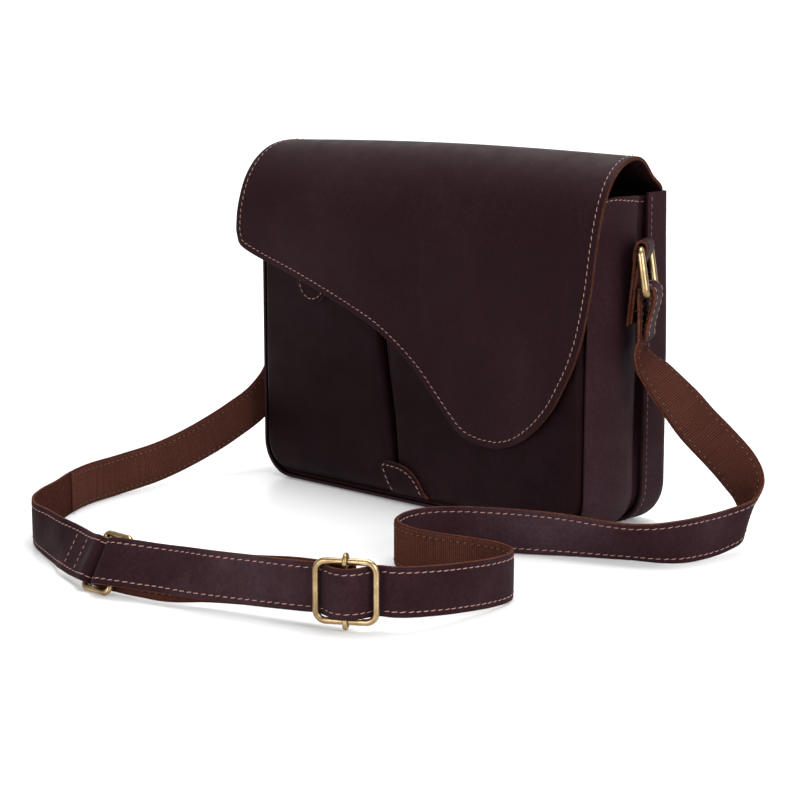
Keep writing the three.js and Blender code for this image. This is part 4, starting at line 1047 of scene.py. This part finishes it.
longTurn = roundAdjuster(longFold, 1, adjusterForm["longHeading"], adjusterForm["longSlack"],
                         adjusterForm["longLean"])
shortTurn = roundAdjuster(shortFold, -1, adjusterForm["shortHeading"], 0.0, adjusterForm["lean"])
longStations = smoothRows(ringLoopStations(1) + edgeUp(longRoute) + throughSlider(sliderPass) + frontLayer
                          + longTurn + backLayer + throughSlider(sliderEnd), routeSteps)
shortStations = smoothRows(ringLoopStations(-1) + edgeUp(shortRoute) + shortTurn, routeSteps)
webbedLong = longStations[:-routeSteps * bareLongRows]
webbedShort = shortStations[:routeSteps * (len(ringLoop) + webbedShortRows) + 1]
ribForm = {
    "pitch": 1.45, "step": 0.29, "height": 0.18, "groove": -0.3, "hem": 4.6, "hemStand": 0.8,
    "drift": ((0.35, 17.0), (0.22, 7.3)),        # uneven weave: share of a rib, over a length
}


# how far the ribs stand and where their grooves are; the grooves take a darker finish, painted shade
def webRibs(along):
    fromEnd = (along[-1] - along) / ribForm["hem"]
    turnedEnd = ribForm["hemStand"] * np.sqrt(np.clip(1 - (2 * fromEnd - 1) ** 2, 0, 1))
    turn = along / ribForm["pitch"]
    for share, span in ribForm["drift"]:
        turn = turn + share * np.sin(along / span)
    lift = np.where(fromEnd < 1, turnedEnd, ribForm["height"] * np.sin(2 * np.pi * turn))
    return lift, lift < ribForm["groove"] * ribForm["height"]


def strapStitches(name, stations, wide, deep, thread, form):
    middle, across, depth = ribbonFrame(evenRows(stations, strapForm["stitchStation"]))
    out = depth * np.sign(deep)
    paths = [(middle + across * reach + depth * deep, out) for reach in (-wide, wide)]
    return stitchRows(name, paths, thread, strapForm["stitchLean"], form)


strapStitch = dict(stitchForm, pitch=5.0, length=4.4, width=0.64)
webStitch = dict(strapStitch, width=0.52, lift=0.3, length=1.9)
strapRuns = (("long", longStations, webbedLong, -1), ("short", shortStations, webbedShort, 1))
for name, stations, webbed, grainSide in strapRuns:
    line = evenRows(stations, strapForm["station"])
    strap = sweptBand(name + "_strap_hide", line, strapSection(grainSide), [strapHide, innerSuede, cutEdge],
                      [name + "_strap_leather"])
    web = sweptBand(name + "_strap_web", evenRows(webbed, ribForm["step"]), webSection(grainSide),
                    [strapWebbing, webGrooveShade, strapWebbing], [name + "_strap_webbing"], webRibs)
    faceStitches = strapStitches(name + "_strap_stitches", stations, strapForm["stitchReach"],
                                 grainSide * strapForm["stitchLift"], seamThread, strapStitch)
    webStitches = strapStitches(name + "_web_stitches", webbed, strapForm["webReach"],
                                -grainSide * strapForm["webLift"], webThread, webStitch)

# two rows across the short strap hold its folded end behind the adjuster ring
crossForm = {"fromFold": (19.0, 36.0), "reach": 11.5, "points": 11, "lift": 1.02, "lean": 4.0,
             "station": 1.0, "foldedEnd": 52}
crossStitch = dict(strapStitch, pitch=4.2, length=3.4)
middle, across, depth = ribbonFrame(evenRows(shortStations, crossForm["station"]))
fold = np.array((adjusterForm["place"][0] - adjusterReach, adjusterForm["place"][1], adjusterHeight))
toFold = np.linalg.norm(middle - fold, axis=1)[:-crossForm["foldedEnd"]]
rise = np.linspace(-crossForm["reach"], crossForm["reach"], crossForm["points"])
crossPaths = []
for distance in crossForm["fromFold"]:
    k = int(np.argmin(np.abs(toFold - distance)))
    slant = unit(adjusterUp - depth[k] * (adjusterUp @ depth[k]))      # along the ring's bars
    row = middle[k] + np.outer(rise, slant) + depth[k] * crossForm["lift"]
    crossPaths.append((row, facing(depth[k], len(rise))))
stitchRows("short_strap_cross_stitches", crossPaths, seamThread, crossForm["lean"], crossStitch)

wire = adjusterForm["wire"]
ringPath = roundedFrame((*adjusterForm["place"], adjusterHeight), (1, 0, 0), adjusterUp,
                        adjusterForm["width"] - wire, adjusterForm["height"] - wire,
                        adjusterForm["corner"] - wire / 2)
ringNormal = np.cross((1.0, 0, 0), adjusterUp)
brassPiece("adjuster_ring_brass", "adjuster_ring",
           *wireMesh(ringPath, ringNormal, wire / 2, adjusterForm["wireSides"]))

turn = math.radians(sliderForm["heading"])
sliderAlong = np.array((math.cos(turn), math.sin(turn), 0))
sliderAway = np.array((-sliderAlong[1], sliderAlong[0], 0))
sliderMiddle = np.array((*sliderForm["place"], sliderHeight))
wire = sliderForm["wire"]
framePath = roundedFrame(sliderMiddle, sliderAlong, upright, sliderReach * 2, sliderReach * 2,
                         sliderForm["corner"] - wire / 2)
brassPiece("slider_frame_brass", "slider_frame",
           *wireMesh(framePath, np.cross(sliderAlong, upright), wire / 2, sliderForm["wireSides"]))


def sliderBarMesh():
    radius, sides = sliderForm["bar"] / 2, sliderForm["barSides"]
    around = np.linspace(0, 2 * np.pi, sliderForm["eyePoints"] + 1)[:-1]
    parts = []
    eye = np.outer(np.sin(around), sliderAway) + np.outer(np.cos(around), upright)
    for end in (-1, 1):
        centre = sliderMiddle + upright * end * sliderReach
        parts.append(wireMesh(centre + eyeRadius * eye, sliderAlong, radius, sides))
    heights = np.linspace(-(sliderReach - eyeRadius), sliderReach - eyeRadius, sliderForm["barRings"])
    angle = circleAngles(sides)
    ring = np.outer(np.cos(angle), sliderAlong) + np.outer(np.sin(angle), sliderAway)
    rod = (sliderMiddle + np.outer(heights, upright))[:, None] + radius * ring[None]
    parts.append((rod.reshape(-1, 3), tubeQuads(len(heights), sides)[:, [0, 3, 2, 1]]))
    return joinParts(parts)


brassPiece("slider_bar_brass", "slider_bar", *sliderBarMesh())
print("adjuster and slider made")

# floor and light, in metres
stageForm = {
    "floorHalf": 6.0, "wallBack": 3.2, "wallHeight": 4.0, "curve": 1.2, "curveSteps": 12, "drop": 0.0004,
    "floor": {"grey": 0.8, "glow": 0.14, "roughness": 0.28},     # a faint, soft mirror
    "wall": {"grey": 0.5, "glow": 0.8, "roughness": 0.6},        # lit from behind, so that it burns out
    "air": 0.45,
}
softBoxes = {
    "topBox": {"place": (-0.1, 0.35, 1.9), "aim": (0, -0.1, 0.1), "size": (1.8, 1.3), "power": 43},
    "rightBox": {"place": (2.0, -0.3, 0.9), "aim": (0.1, 0, 0.12), "size": (1.2, 1.2), "power": 30},
    "frontBox": {"place": (0.5, -2.3, 0.8), "aim": (0, 0, 0.1), "size": (1.4, 1.0), "power": 22},
}


def stageSweep(form=stageForm):
    curve, flatEnd = form["curve"], form["wallBack"] - form["curve"]
    profile = [(-form["floorHalf"], 0.0), (flatEnd, 0.0)]
    for a in np.linspace(0, np.pi / 2, form["curveSteps"] + 1)[1:]:
        profile.append((flatEnd + curve * math.sin(a), curve * (1 - math.cos(a))))
    profile.append((form["wallBack"], form["wallHeight"]))
    away = np.array((sight.x, sight.y, 0))
    away = away / np.linalg.norm(away)
    sideways = np.array((-away[1], away[0], 0))
    points = []
    for distance, height in profile:
        for reach in (-form["floorHalf"], form["floorHalf"]):
            points.append(tuple(away * distance + sideways * reach + np.array((0, 0, height))))
    faces = [(2 * k, 2 * k + 1, 2 * k + 3, 2 * k + 2) for k in range(len(profile) - 1)]
    mesh = bpy.data.meshes.new("studioFloor")
    mesh.from_pydata(points, [], faces)
    mesh.polygons.foreach_set("use_smooth", np.ones(len(faces), bool))
    mesh.materials.append(studioPaper("floorPaper", **form["floor"]))
    mesh.materials.append(studioPaper("wallPaper", **form["wall"]))
    mesh.polygons.foreach_set("material_index", np.minimum(np.arange(len(faces)), 1).astype(np.int32))
    return mesh


def studioPaper(name, grey, glow, roughness):
    paper, shader, _ = startFinish(name, roughness, 0.0, 0.2)
    fillInputs(paper, shader, {"Base Color": (grey, grey, grey, 1), "Emission Color": (1, 1, 1, 1),
                               "Emission Strength": glow})
    return paper


floor = bpy.data.objects.new("studioFloor", stageSweep())
scene.collection.objects.link(floor)
floor.location.z = -stageForm["drop"]


def softBox(name, place, aim, size, power):
    light = bpy.data.lights.new(name, "AREA")
    light.shape = "RECTANGLE"
    light.size, light.size_y = size
    light.energy = power
    box = bpy.data.objects.new(name, light)
    box.location = place
    box.rotation_mode = "QUATERNION"
    box.rotation_quaternion = (Vector(aim) - Vector(place)).to_track_quat("-Z", "Y")
    scene.collection.objects.link(box)


for name, form in softBoxes.items():
    softBox(name, **form)
world = bpy.data.worlds.new("studioAir")
world.use_nodes = True
background = world.node_tree.nodes["Background"]
background.inputs["Color"].default_value = (1, 1, 1, 1)
background.inputs["Strength"].default_value = stageForm["air"]
scene.world = world
scene.view_settings.view_transform = "Standard"
print("floor and light set")
